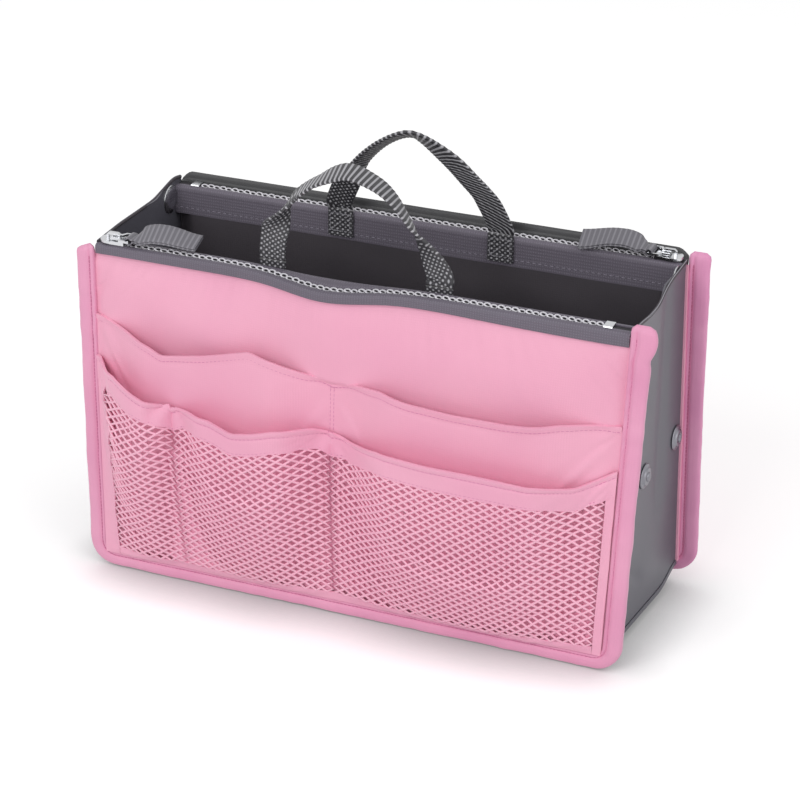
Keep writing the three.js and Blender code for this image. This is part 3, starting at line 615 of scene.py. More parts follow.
@dataclass(frozen=True)
class Stance:
    """How the ends of the insert stand: in at the front's foot, out and up at the back's."""

    half_depth: float = 49.0
    half_length: float = 131.0
    askew: float = 11.0
    askew_start: float = 20.0
    askew_height: float = 165.0
    lift: float = 6.0
    lift_start: float = 95.0
    lift_depth: float = 22.0
    lift_height: float = 60.0

    def move(self, piece: Object) -> None:
        """Move a piece as its end of the insert stands.

        Args:
            piece: A piece of a wall, a gusset or the base.
        """
        points = np.empty(len(piece.data.vertices) * 3)
        piece.data.vertices.foreach_get("co", points)
        x, y, z = points.reshape(-1, 3).T / MM
        out = np.abs(x)
        askew = self.askew * np.clip((y + self.half_depth) / (2 * self.half_depth), 0, 1) - self.askew / 2
        aside = smooth((out - self.askew_start) / (self.half_length - self.askew_start))
        raised = smooth((out - self.lift_start) / (self.half_length - self.lift_start))
        moved = [x + (x > 0) * aside * np.clip(1 - z / self.askew_height, 0, 1) * askew, y,
                 z + self.lift * raised * smooth((y - self.lift_depth) / self.lift_depth)
                 * (1 - smooth(z / self.lift_height))]
        piece.data.vertices.foreach_set("co", np.stack(moved, -1).ravel() * MM)
        piece.data.update()


def dress(piece: Object, body: str, nodes: tuple = ()) -> Object:
    """Ride a piece on its body and the nodes it stands for.

    Args:
        piece: The finished piece.
        body: The body that carries it, or "gusset" where it closes up between the two walls.
        nodes: The CAD nodes that it replaces.

    Returns:
        The piece.
    """
    if body in ("root", "front_wall", "gusset"):
        Stance().move(piece)
    if body == "gusset":
        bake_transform(piece)
    else:
        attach(piece, body)
    if nodes:
        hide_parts(*nodes)
    LOG.info("%s rides on %s", piece.name, "both walls" if body == "gusset" else body)
    return piece


# Repeated elements, laid by Geometry Nodes


def tree_of(name: str, sockets: dict) -> tuple[Tree, Node]:
    """Start a geometry tree with named inputs.

    Args:
        name: Name of the tree.
        sockets: Each input's name and the end of its socket's type name.

    Returns:
        The tree and its input node.
    """
    tree = bpy.data.node_groups.new(name, "GeometryNodeTree")
    for label, kind in {"Geometry": "Geometry", **sockets, "Material": "Material"}.items():
        tree.interface.new_socket(label, in_out="INPUT", socket_type=f"NodeSocket{kind}")
    tree.interface.new_socket("Geometry", in_out="OUTPUT", socket_type="NodeSocketGeometry")
    return tree, tree.nodes.new("NodeGroupInput")


def end_tree(tree: Tree, given: Node, geometry: Socket) -> Tree:
    """End a geometry tree in real geometry with its material.

    Args:
        tree: The tree.
        given: Its input node.
        geometry: What it has made.

    Returns:
        The tree.
    """
    real = add_node(tree, "GeometryNodeRealizeInstances", inputs={0: geometry})
    dressed = add_node(tree, "GeometryNodeSetMaterial", inputs={
        "Geometry": real.outputs[0], "Material": given.outputs["Material"]})
    add_node(tree, "NodeGroupOutput", inputs={0: dressed.outputs[0]})
    return tree


def row_tree() -> Tree:
    """Build the tree that sets an element along a line at an even spacing, its Z along the line.

    Returns:
        The tree.
    """
    tree, given = tree_of("row of elements", {"Element": "Object", "Spacing": "Float", "Up": "Vector"})
    line = add_node(tree, "GeometryNodeMeshToCurve", inputs={0: given.outputs["Geometry"]})
    steps = add_node(tree, "GeometryNodeResampleCurve", {"mode": "LENGTH"}, {
        "Curve": line.outputs[0], "Length": given.outputs["Spacing"]})
    tangent = add_node(tree, "GeometryNodeInputTangent")
    along = add_node(tree, "FunctionNodeAlignRotationToVector", {"axis": "Z"}, {"Vector": tangent.outputs[0]})
    upright = add_node(tree, "FunctionNodeAlignRotationToVector", {"axis": "Y", "pivot_axis": "Z"}, {
        "Rotation": along.outputs[0], "Vector": given.outputs["Up"]})
    element = add_node(tree, "GeometryNodeObjectInfo", inputs={"Object": given.outputs["Element"]})
    placed = add_node(tree, "GeometryNodeInstanceOnPoints", inputs={
        "Points": steps.outputs[0], "Instance": element.outputs["Geometry"], "Rotation": upright.outputs[0]})
    return end_tree(tree, given, placed.outputs[0])


def strand_tree() -> Tree:
    """Build the tree that makes a round strand of every edge of a lattice.

    Returns:
        The tree.
    """
    tree, given = tree_of("net strands", {"Radius": "Float", "Sides": "Int"})
    lines = add_node(tree, "GeometryNodeMeshToCurve", inputs={0: given.outputs["Geometry"]})
    ring = add_node(tree, "GeometryNodeCurvePrimitiveCircle", inputs={
        "Resolution": given.outputs["Sides"], "Radius": given.outputs["Radius"]})
    strands = add_node(tree, "GeometryNodeCurveToMesh", inputs={
        "Curve": lines.outputs[0], "Profile Curve": ring.outputs[0], "Fill Caps": True})
    return end_tree(tree, given, strands.outputs[0])


def grown(name: str, points: Array, edges: list, tree: Tree, inputs: dict, finish: Finish) -> Object:
    """Run a geometry tree on a set of lines and keep its result as a plain mesh.

    Args:
        name: Name of the piece.
        points: Points of the lines.
        edges: Pairs of point indices.
        tree: The tree to run.
        inputs: Values for the tree's named inputs, apart from its material.
        finish: What the piece is made of.

    Returns:
        The object, with no modifier left on it.
    """
    lines = bpy.data.meshes.new(name)
    lines.from_pydata((points * MM).tolist(), edges, [])
    source = linked(f"{name}_lines", lines)
    modifier = source.modifiers.new("rule", "NODES")
    modifier.node_group = tree
    ids = {s.name: s.identifier for s in tree.interface.items_tree if s.in_out == "INPUT"}
    for label, value in {**inputs, "Material": finish.material()}.items():
        modifier[ids[label]] = value
    graph = bpy.context.evaluated_depsgraph_get()
    graph.update()
    mesh = bpy.data.meshes.new_from_object(source.evaluated_get(graph))
    bpy.data.objects.remove(source)
    mesh.name = name
    mesh.materials.clear()
    mesh.materials.append(finish.material())
    mesh.polygons.foreach_set("material_index", [0] * len(mesh.polygons))
    mesh.polygons.foreach_set("use_smooth", [True] * len(mesh.polygons))
    return linked(name, mesh)


@dataclass
class Rows:
    """Lays rows of stitches and teeth along lines."""

    stitch_half: tuple = (0.24, 0.18, 0.85)
    tooth_half: tuple = (1.38, 1.25)
    wire: float = 0.39
    tooth_lean: float = 28.0
    tooth_skew: float = 0.35
    tree: Tree = field(init=False)
    stitch: Object = field(init=False)
    tooth: Object = field(init=False)

    def __post_init__(self) -> None:
        """Build the tree and the elements that it copies."""
        self.tree = row_tree()
        self.stitch = self.stitch_element()
        self.tooth = self.tooth_element()
        for element in (self.stitch, self.tooth):
            element.hide_render = element.hide_viewport = True

    def stitch_element(self) -> Object:
        """Make one stitch: a small rounded grain with its long axis on its path.

        Returns:
            The stitch.
        """
        angles = np.arange(8) * math.tau / 8 + math.tau / 16
        shares = np.array([(0.55, -1.0), (0.95, -0.55), (1.0, 0.0), (0.95, 0.55), (0.55, 1.0)])[:, :, None]
        x, y, z = self.stitch_half
        rings = [x * shares[:, 0] * np.cos(angles), y * shares[:, 0] * np.sin(angles), z * shares[:, 1] + 0 * angles]
        return swept("fine_stitch", np.stack(rings, -1), PINK_THREAD, None, 80)

    def tooth_element(self) -> Object:
        """Make one turn of a zip's coil: an oval loop of wire that leans along its path.

        Returns:
            The turn.
        """
        turn, side = [(np.arange(count) * math.tau / count) for count in (20, 6)]
        turn, lean = turn[:, None], math.radians(self.tooth_lean)
        x = (self.tooth_half[0] + self.wire * np.cos(side)) * np.cos(turn)
        up = (self.tooth_half[1] + self.wire * np.cos(side)) * np.sin(turn)
        off = self.wire * np.sin(side) + 0.0 * turn
        points = np.stack([x, up * math.sin(lean) + off * math.cos(lean),
                           up * math.cos(lean) - off * math.sin(lean) + self.tooth_skew * x], -1).reshape(-1, 3)
        faces = quads(np.arange(len(points)).reshape(x.shape), (1, 1))
        return mesh_object("tooth", points, faces.tolist(), ZIP_TEETH, None, 80)

    def lay(self, name: str, lines: list[Array], element: Object, spacing: float, finish: Finish, body: str,
            nodes: tuple = (), up: tuple = (0, -1, 0)) -> None:
        """Lay elements along lines.

        Args:
            name: Name of the piece.
            lines: Each line's points.
            element: What to lay.
            spacing: Distance from one to the next.
            finish: What they are made of.
            body: The body that carries them.
            nodes: The CAD nodes that they replace.
            up: Which way the elements' height faces.
        """
        starts = np.cumsum([0, *map(len, lines)])
        edges = [(start + i, start + i + 1) for start, line in zip(starts.tolist(), lines)
                 for i in range(len(line) - 1)]
        piece = grown(name, np.concatenate(lines), edges, self.tree,
                      {"Element": element, "Spacing": spacing * MM, "Up": up}, finish)
        dress(piece, body, nodes)

    def clear(self) -> None:
        """Remove the elements once every row is laid."""
        for element in (self.stitch, self.tooth):
            bpy.data.objects.remove(element)


# The shapes that the pieces share


class Side(Enum):
    """Which wall: its name and the way its own front faces along Y."""

    FRONT = ("front", 1)
    BACK = ("back", -1)

    @property
    def label(self) -> str:
        """The name that starts the nodes of this wall."""
        return self.value[0]

    @property
    def body(self) -> str:
        """The body that carries the wall."""
        return "front_wall" if self is Side.FRONT else "root"

    def place(self, points: Array) -> Array:
        """Turn points of the front wall round to this wall."""
        return points * np.array([self.value[1], self.value[1], 1])


@dataclass(frozen=True)
class Tier:
    """A tier of pockets: its seams, its edge and how far its mouths stand open off what is behind it."""

    seams: tuple
    points: tuple
    soft: float
    mouth: float
    height: float
    behind: "Tier | None" = None
    slack: float = 0.0
    ramp: float = 0.26

    def edge(self, x: Array) -> Array:
        """Height of the tier's edge."""
        return drawn(self.points, x, self.soft)

    def face(self, x: Array, z: Array) -> Array:
        """Place the tier's inner face: close at its seams, standing open in the middle of a pocket.

        Args:
            x: Place along the wall.
            z: Height on the wall.

        Returns:
            The face's Y.
        """
        share = np.zeros(np.shape(x))
        for low, high in zip(self.seams, self.seams[1:]):
            t = (x - low) / (high - low)
            share = np.where((t >= 0) & (t <= 1), smooth(np.minimum(t, 1 - t) / self.ramp), share)
        raised = np.sin(math.pi / 2 * np.clip((z - PANEL_LOW) / (self.height - PANEL_LOW), 0, 1))
        behind = self.behind.face(x, z) - FABRIC if self.behind else panel_face(x, z)
        return behind - CLEARANCE - self.mouth * share * raised - self.slack


def panel_face(x: Array, z: Array) -> Array:
    """Where the padding's bulge brings the outer panel's face."""
    up = np.clip((z - PANEL_LOW) / (PANEL_HIGH - PANEL_LOW), 0, 1)
    return PANEL_Y - PANEL_CROWN * (1 - np.abs(x / SEAM_X) ** 3) * np.sin(math.pi * up)


UPPER = Tier((-SEAM_X, -8.0, SEAM_X), (
    (-131, 137), (-128, 136.6), (-111, 134), (-98, 130.6), (-91, 127.3), (-69, 131.5), (-46, 137.6), (-34, 134),
    (-22, 129), (-8, 125.3), (4, 127), (19, 129), (32, 126.4), (54, 125), (80, 124.8), (93, 125.8), (104, 127.6),
    (131, 127.5)), soft=3, mouth=11.0, height=132.0)
LOWER = Tier((-SEAM_X, -85.0, -8.0, SEAM_X), (
    (-131, 116), (-114, 114.4), (-97, 108.5), (-90, 105), (-85, 103), (-72, 105.8), (-61, 105), (-50, 100.5),
    (-40, 102.4), (-30, 104.6), (-16, 103.5), (-8, 100.5), (4, 100.2), (22, 105.3), (46, 103.5), (82, 102.2),
    (100, 101.2), (114.7, 98), (122, 101), (131, 106)), soft=3, mouth=10.0, height=104.0, behind=UPPER, slack=0.25)
BEHIND = Tier((-SEAM_X, 0.0, SEAM_X), ((-131, 131), (-70, 124), (0, 128), (70, 124), (131, 131)), soft=20,
              mouth=10.0, height=128.0)


@dataclass
class Wall:
    """A padded wall: panel, lining, binding, zip tapes, chain, webbing and their stitches."""

    side: Side
    rows: Rows
    pockets: Tier
    handle_turn: tuple
    arch: tuple
    weave: tuple
    flange_tops: tuple
    binding_finish: Finish
    seeds: tuple
    hinge: tuple = (-1.0, -35.2, 175.0)
    handle_height: float = 47.5
    handle_lean: float = 0.0
    handle_half_span: float = 41.0
    webbing: float = 13.0
    webbing_thick: float = 1.4
    foot_height: float = 14.0
    hem: float = 0.0
    folded_flange: float = 0.0
    tab_roll: tuple = (35.0, 20.0)
    tab_length: float = 33.5
    tab_layer: float = 1.0
    tab_eye: float = 1.15
    tab_start: float = 1.5
    tab_pivot: tuple = (-113.75, CHAIN_Y, RIM + 3.5)
    panel_half: float = 131.6
    panel_span: tuple = (7.4, 169.6)
    panel_back: float = -42.8
    seam_allowance: float = 2.2
    creases: tuple = (((-118, 150), (-30, 128), 9, 0.8), ((-60, 160), (60, 150), 8, -0.7),
                      ((10, 152), (118, 134), 10, 0.8), ((128, 60), (90, 150), 12, 0.8))
    lining_y: float = -42.2
    lining_turn: float = 5.2
    lining_span: tuple = (8.9, 165.6)
    lining_thick: float = 0.7
    seam_x: float = 130.5
    flange_y: float = -46.5
    flange_seam: tuple = (131.0, 8.2, 5.0)
    flange_edge: tuple = (140.0, 0.6, 13.0)
    flange_half: float = 2.1
    fold_span: tuple = (60.0, 70.0)
    tape_half: float = 130.4
    tape_thick: float = 0.8
    tape_turn: float = 1.6
    outer_tape: tuple = (-46.2, 164.2)
    inner_tape: tuple = (-36.6, 158.0)
    chain_half: float = 2.1
    bed_half: float = 129.8
    bed_span: tuple = (-43.8, -39.0)
    wave: tuple = (-12.0, 26.0)
    wave_move: tuple = (0, -6.0, -2.5)
    wave_start: float = 120.0
    tooth_pitch: float = 6.4
    chain_start: float = -123.0
    chain_end: float = 112.2
    row_aside: float = 0.35
    row_lift: float = 0.3
    bed_lifts: tuple = (-0.15, -0.6)
    seam_rise: float = 1.25
    tape_seam: tuple = (129.0, -36.1, 161.5)
    webbing_step: float = 0.4
    foot_drop: float = 1.0
    foot_seam: float = 0.85
    foot_box: tuple = ((-5, -3), (5, -3), (5, -12), (-5, -12), (-5, -3), (5, -12))
    tab_crest: tuple = (4.2, 0.38)
    tab_droop: tuple = (2.6, 0.45)
    tab_sway: float = 4.0
    tab_width: float = 10.0
    tab_root: float = 7.8
    tab_thick: float = 0.85
    tab_ribs: float = 0.12

    def name(self, what: str) -> str:
        """Name a piece of this wall."""
        return f"{self.side.label}_{what}"

    def sheet(self, what: str, faces: list, finish: Finish, uv: tuple, nodes: tuple = ()) -> Object:
        """Make and dress a closed sheet of this wall.

        Args:
            what: What the piece is.
            faces: Points of its two faces, in the front wall's frame.
            finish: What it is made of.
            uv: The two cloth coordinates.
            nodes: The CAD nodes that it replaces, without the wall's name.

        Returns:
            The piece.
        """
        piece = closed_sheet(self.name(what), [self.side.place(f) for f in faces], finish, uv)
        return dress(piece, self.side.body, tuple(map(self.name, nodes)))

    def sew(self, what: str, line: Array, spacing: float, thread: Finish) -> None:
        """Lay a row of stitches along a line of this wall."""
        self.rows.lay(self.name(what), [self.side.place(line)], self.rows.stitch, spacing, thread, self.side.body)

    def bowed(self, points: Array) -> Array:
        """Bow points of the front wall's rim outwards and down, fading out below it.

        Args:
            points: Points in the front wall's frame.

        Returns:
            The moved points.
        """
        if self.side is Side.BACK:
            return points
        share = bell((points[..., 0] - self.wave[0]) / self.wave[1])
        share = share * smooth((points[..., 2] - self.wave_start) / (RIM - self.wave_start))
        return points + share[..., None] * np.array(self.wave_move)

    def panel(self) -> None:
        """Build the padded outer panel. Its cloth settles over the wadding and draws in at the seams."""
        low, high = self.panel_span
        x, z = np.meshgrid(np.linspace(-self.panel_half, self.panel_half, 165), np.linspace(low, high, 100))
        edge = np.minimum(np.minimum(self.panel_half - np.abs(x), z - low), high - z)
        puff = ripple(x, z, 34, self.seeds[0]) * 0.7 * smooth(edge / 30)
        pucker = ripple(x * 0.4, z * 0.4, 3.2, self.seeds[0] + 1) * 0.4 * np.exp(-np.maximum(edge, 0) / 7)
        tucked = 1.5 * smooth((z - 162) / 6)
        flat = np.stack([x, panel_face(x, z) - puff - pucker - folds(x, z, self.creases) + tucked, z], -1)
        sewn = (edge < self.seam_allowance) | (z > PANEL_HIGH)
        outer = ClothRun(growth=0.014, pull=(0, -7.0, -2.0), cap=3.2).settle(flat, sewn)
        clear_of_pockets = self.pockets.face(x, z) + 0.45 - 9 * smooth((z - self.pockets.edge(x) + 4) / 10)
        outer[..., 1] = np.maximum(outer[..., 1], clear_of_pockets)
        inner = np.stack([x, np.full(x.shape, self.panel_back), z], -1)
        piece = self.sheet("padded_panel", [self.bowed(outer), self.bowed(inner)], PINK_NYLON, (x, z),
                           ("outer_panel", "padding"))

    def lining(self) -> None:
        """Build the lining, which turns out to the side seams at its ends."""
        ends = np.linspace(-LINING_HALF, -116, 12)
        x, z = np.meshgrid(np.concatenate([ends, np.linspace(-113, 113, 70), -ends[::-1]]),
                           np.linspace(*self.lining_span, 60))
        inwards = SEAM_X - np.abs(x)
        inset = smooth(inwards / 30) * smooth((z - 9) / 20) * smooth((154 - z) / 16)
        loose = (ripple(x, z, 26, 21) * 0.9 + 0.3) * inset * 0.8
        depth = self.lining_y + self.lining_turn * smooth(inwards / 10) + loose
        faces = [np.stack([x, depth + offset, z], -1) for offset in (0, self.lining_thick)]
        piece = self.sheet("wall_lining", faces, DARK_LINING, (x, z), ("lining",))
        self.name("padded_panel")

    def binding_path(self) -> list[Array]:
        """Trace the binding down one side, along the foot and up the other.

        Returns:
            Points (X, Z) along its inner seam and along its outer edge.
        """
        turn = math.pi + math.pi / 2 * np.arange(1, 10) / 10
        paths = []
        for end, foot, radius in (self.flange_seam, self.flange_edge):
            bend = radius * (1 + np.stack([np.cos(turn), np.sin(turn)], -1)) + [-end, foot]
            halves = [np.concatenate([[(-end, z) for z in np.linspace(top, foot + radius, 90)], bend,
                                      [(x, foot) for x in np.linspace(-end + radius, 0, 80)]])
                      for top in self.flange_tops]
            paths.append(np.concatenate([halves[0], halves[1][-2::-1] * [-1, 1]]))
        return paths

    def fold_flange(self, points: Array) -> Array:
        """Fold the upper part of the flange at local +X back round its seam.

        Args:
            points: Points of the binding in the front wall's frame.

        Returns:
            The moved points.
        """
        start, reach = self.fold_span
        turn = math.radians(self.folded_flange) * smooth((points[..., 2] - start) / reach)
        across, depth = points[..., 0] - self.seam_x, points[..., 1] - self.flange_y
        folded = np.stack([self.seam_x + across * np.cos(turn) + depth * np.sin(turn),
                           self.flange_y - across * np.sin(turn) + depth * np.cos(turn), points[..., 2]], -1)
        return np.where(points[..., :1] > 129, folded, points)

    def binding(self) -> None:
        """Build the soft binding flange, fuller near the foot, and its dashed stitch lines."""
        inner, outer = self.binding_path()
        run = run_along((inner + outer) / 2)
        rest = run[-1] - run
        wobble, quick = ripple(run, run * 0, 16, self.seeds[1]), ripple(run, run * 0, 5, self.seeds[1] + 1)
        if self.side is Side.BACK:
            puff, slant = 1.8 * np.exp(-run / 90), 0 * run
        else:
            puff = 2.4 * np.exp(-(rest - 7) ** 2 / 50) - np.exp(-(rest - 17) ** 2 / 8) + 1.2 * np.exp(-rest / 80)
            slant = 2.2 * np.exp(-run / 6)
        outer = outer + unit(outer - inner) * (0.2 * wobble + 0.08 * quick + puff)[:, None]
        angles = np.linspace(0, math.tau, 24, endpoint=False)
        share = 0.5 - 0.5 * np.cos(angles)
        thick = self.flange_half * np.sign(np.sin(angles)) * np.abs(np.sin(angles)) ** 0.6
        groove = 1 - 0.45 * bell((share - 0.25) / 0.06)
        close = np.sqrt(np.clip(np.minimum(run, rest) / 2.5, 0, 1)) * 0.96 + 0.04
        full = (1 + 0.08 * quick + 0.08 * wobble) * (1 + 0.25 * smooth((run - run[-1] * 0.68) / 30)) * close
        span = (outer - inner)[:, None, :] * (share - 0.5)[None, :, None] * (0.55 + 0.45 * close[:, None, None])
        flat = ((inner + outer) / 2)[:, None, :] + span
        rings = self.fold_flange(np.stack([flat[..., 0], self.flange_y - full[:, None] * thick * groove,
                                           flat[..., 1] - share * slant[:, None]], -1))
        piece = swept(self.name("binding_flange"), self.side.place(rings), self.binding_finish,
                      (run[:, None], share * (self.flange_edge[0] - self.flange_seam[0]) + np.abs(thick)))
        dress(piece, self.side.body, (self.name("binding"),))
        line = (inner + (outer - inner) * 0.25)[4:-4]
        for face, y in (("front", self.flange_y - self.seam_rise), ("rear", self.flange_y + self.seam_rise)):
            path = self.fold_flange(np.stack([line[:, 0], np.full(len(line), y), line[:, 1]], -1))
            self.sew(f"binding_{face}_stitches", path, 2.0, SEAM_THREAD)

    def tape_profile(self, outward: int) -> Array:
        """Trace a zip tape's cross-section from the chain to its panel.

        Args:
            outward: -1 for the outer tape, 1 for the inner tape.

        Returns:
            Points (Y, Z) along the middle of the tape.
        """
        start, level = CHAIN_Y + outward * self.chain_half, RIM + 0.1
        if outward < 0 and self.hem:
            crest = level + self.hem
            return spline(np.array([
                (start, level), (-45.6, level - 0.1), (-46.5, level + 0.7), (-46.9, crest - 1.4), (-47.3, crest - 0.3),
                (-47.7, crest), (-48.1, crest - 0.4), (-48.3, crest - 1.6), (-48.1, level - 1.5), (-47.3, level - 4.0),
                (-46.6, self.outer_tape[1])]), 0.5)
        fall, end_z = self.outer_tape if outward < 0 else self.inner_tape
        turn = min(self.tape_turn, abs(fall - start))
        angles = np.linspace(math.pi / 2, 0, 7)
        arc = [fall + outward * turn * (np.cos(angles) - 1), level + turn * (np.sin(angles) - 1)]
        down = [np.full(12, fall), np.linspace(level - turn - 0.4, end_z, 12)]
        return np.concatenate([[[start, level]], np.stack(arc, -1), np.stack(down, -1)])

    def tapes(self) -> None:
        """Build both zip tapes, wrapped over the rim, with a row of stitches along the inner one."""
        x = np.linspace(-self.tape_half, self.tape_half, 170)
        for label, outward in (("outer", -1), ("inner", 1)):
            profile = self.tape_profile(outward)
            step = run_along(profile)[:, None]
            tangent = unit(np.gradient(profile, axis=0))
            normal = np.stack([tangent[:, 1], -tangent[:, 0]], -1) * outward
            loose = ripple(x, x * 0, 22, 41 + outward) * 0.3 * smooth((step - 5) / 6)
            faces = []
            for offset in (self.tape_thick / 2, -self.tape_thick / 2):
                yz = (profile + normal * offset)[:, :, None]
                z = yz[:, 1] + loose
                if outward < 0 and not self.hem:
                    z = z + np.maximum(RIM - z, 0) * (0.46 - 0.24 * smooth((x - 10) / 100))
                if self.hem:
                    z = z - np.maximum(z - RIM, 0) * (1 - np.clip((130.9 - np.abs(x)) / 6, 0, 1)) ** 2
                flat = np.stack([x + 0 * z, yz[:, 0] + outward * loose * 0.6, z], -1)
                stays = smooth(step / 4.5)[..., None] if outward > 0 else 0.0
                faces.append(flat * stays + self.bowed(flat) * (1 - stays))
            finish = DARK_HEM if self.hem and outward < 0 else ZIP_TAPE
            self.sheet(f"{label}_tape", faces, finish, (x + 0 * step, step + 0 * x), (f"zip_{label}_tape",))
        half, y, z = self.tape_seam
        line = np.stack([np.linspace(-half, half, 120), np.full(120, y), np.full(120, z)], -1)
        self.sew("inner_tape_stitches", line, 2.9, TAPE_THREAD)

    def chain(self) -> None:
        """Build the two rows of zip teeth, which mesh along the middle, and the dark bed of painted shade under them.
        """
        for label, outward, phase in (("outer", -1, 0.0), ("inner", 1, self.tooth_pitch / 2)):
            x = np.linspace(self.chain_start + phase, self.chain_end + phase, 160)
            y = CHAIN_Y + outward * self.row_aside
            line = np.stack([x, np.full(160, y), np.full(160, RIM + self.row_lift)], -1)
            line = self.side.place(self.bowed(line))
            line = line[::-1] if self.side is Side.FRONT else line
            self.rows.lay(self.name(f"{label}_teeth"), [line], self.rows.tooth, self.tooth_pitch, ZIP_TEETH,
                          self.side.body, (self.name(f"zip_{label}_chain"),), (0, 0, 1))
        x, y = np.meshgrid(np.linspace(-self.bed_half, self.bed_half, 120), np.linspace(*self.bed_span, 5))
        faces = [self.bowed(np.stack([x, y, np.full(x.shape, RIM + lift)], -1)) for lift in self.bed_lifts]
        self.sheet("chain_bed", faces, ZIP_SHADE_BED, (x, y))

    def strap(self, what: str, centre: Array, across: Array, finish: Finish, body: str, nodes: tuple,
              weave: tuple = (0.9, -0.9), width: float | Array | None = None, thick: float | None = None,
              ribs: float = 0.1) -> None:
        """Sweep ribbed webbing along a line.

        Args:
            what: What the piece is.
            centre: Points along the webbing's middle, in the front wall's frame.
            across: Unit vector across the webbing at each point.
            finish: What it is made of.
            body: The body that carries it.
            nodes: The CAD nodes that it replaces.
            weave: How far each of the two sets of threads leans, as numbers or one value for each point.
            width: Its width, where it isn't the handle's.
            thick: Its thickness, where it isn't the handle's.
            ribs: Height of a rib.
        """
        centre, across = self.side.place(centre), self.side.place(across)
        normal = unit(np.cross(unit(np.gradient(centre, axis=0)), across))
        run = run_along(centre)
        half_w = np.broadcast_to(self.webbing if width is None else width, run.shape)[:, None] / 2
        half_t = (self.webbing_thick if thick is None else thick) / 2
        section = np.array([(-1, -0.35), (-0.94, -1), (-0.5, -1), (0, -1), (0.5, -1), (0.94, -1), (1, -0.35)])
        section = np.concatenate([section, -section])
        aside = section[:, 0] * half_w
        lean = [np.broadcast_to(w, run.shape)[:, None] for w in weave]
        rib = ribs * np.sin(math.tau * (run[:, None] + aside * (lean[0] + lean[1]) / 2) / finish.rib)
        rings = (centre[:, None, :] + across[:, None, :] * aside[..., None]
                 + normal[:, None, :] * (section[:, 1] * (half_t + rib))[..., None])
        piece = swept(self.name(what), rings, finish, [run[:, None] + aside * w for w in lean], 70)
        dress(piece, body, nodes)

    def handle(self) -> None:
        """Build the webbing handle and the sewn feet that hold it."""
        arch = np.array([(x * self.handle_half_span, 0, h * self.handle_height) for x, h in self.arch])
        centre = spline(arch, self.webbing_step)
        side, share = np.array([0, 1.0, 0]), np.linspace(0, 1, len(centre))
        flat = unit(np.cross(unit(np.gradient(centre, axis=0)), side))
        turn = np.radians(drawn(self.handle_turn, share, 0.02))[:, None]
        lean = math.radians(self.handle_lean)
        spin = np.array([[1, 0, 0], [0, math.cos(lean), -math.sin(lean)], [0, math.sin(lean), math.cos(lean)]])
        hinge_x, hinge_y, hinge_z = self.hinge
        self.strap("handle_webbing", centre @ spin + self.hinge, (flat * np.cos(turn) + side * np.sin(turn)) @ spin,
                   WEBBING, self.name("handle_loop"), (self.name("handle"),),
                   tuple(drawn(points, share, 0.02) for points in self.weave))
        top, box = hinge_z - self.foot_drop, np.array(self.foot_box)
        z = np.arange(top, top - self.foot_height, -self.webbing_step)
        for sign in (-1, 1):
            foot = "left" if sign * self.side.value[1] < 0 else "right"
            x = hinge_x + sign * self.handle_half_span
            line = np.stack([np.full(len(z), x), np.full(len(z), hinge_y), z], -1)
            self.strap(f"{foot}_handle_foot", line, np.tile([self.side.value[1], 0, 0], (len(z), 1)), WEBBING,
                       self.side.body, (self.name(f"handle_{foot}_foot"),))
            seam = np.stack([x + box[:, 0], np.full(len(box), hinge_y + self.foot_seam), hinge_z + box[:, 1]], -1)
            self.sew(f"{foot}_foot_stitches", even(seam, 0.8), 2.2, GREY_THREAD)

    def pull_tab(self) -> None:
        """Build the pull tab: webbing folded round the puller's end bar and sewn to itself."""
        radius = self.tab_eye + self.tab_layer / 2
        tail = np.linspace(self.tab_length - 0.4, radius + 0.6, 48)
        share = np.clip((tail - self.tab_start) / (self.tab_length - self.tab_start), 0, 1)
        (crest, crest_end), (droop, droop_start) = self.tab_crest, self.tab_droop
        height = crest * (1 - (1 - np.clip(share / crest_end, 0, 1)) ** 2)
        height = height - droop * smooth((share - droop_start) / (1 - droop_start))
        angles = np.linspace(-math.pi * 0.2, -math.pi * 1.8, 22)
        round_bar = radius * np.stack([np.cos(angles), np.sin(angles)], -1)
        lower, upper = [np.stack([tail, height + sign * self.tab_layer * 0.52], -1) for sign in (-1, 1)]
        line = even(np.concatenate([lower, round_bar, upper[::-1]]), self.webbing_step)
        along = np.clip((line[:, 0] - self.tab_start) / (self.tab_length - self.tab_start), 0, 1)
        centre = np.stack([line[:, 0], self.tab_sway * along ** 1.5, line[:, 1]], -1) + self.tab_pivot
        first, last = np.radians(self.tab_roll)
        roll = (first + (last - first) * smooth((along - 0.4) / 0.6)) * smooth((along - 0.02) / 0.14)
        across = np.stack([0 * roll, np.cos(roll), np.sin(roll)], -1)
        width = self.tab_root + (self.tab_width - self.tab_root) * smooth(along / 0.14)
        self.strap("webbing_pull", centre, across, PULL_WEBBING, self.name("tab"), (self.name("pull_tab"),),
                   (0.0, 0.0), width, self.tab_thick, self.tab_ribs)

    def build(self) -> None:
        """Build every piece of the wall, and give the zip's own metal parts their plated finish."""
        for make in (self.panel, self.lining, self.binding, self.tapes, self.chain, self.handle, self.pull_tab):
            make()
        for what in ("zip_slider", "zip_puller", "zip_end_stop"):
            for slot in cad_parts[self.name(what)].material_slots:
                slot.material = NICKEL.material()


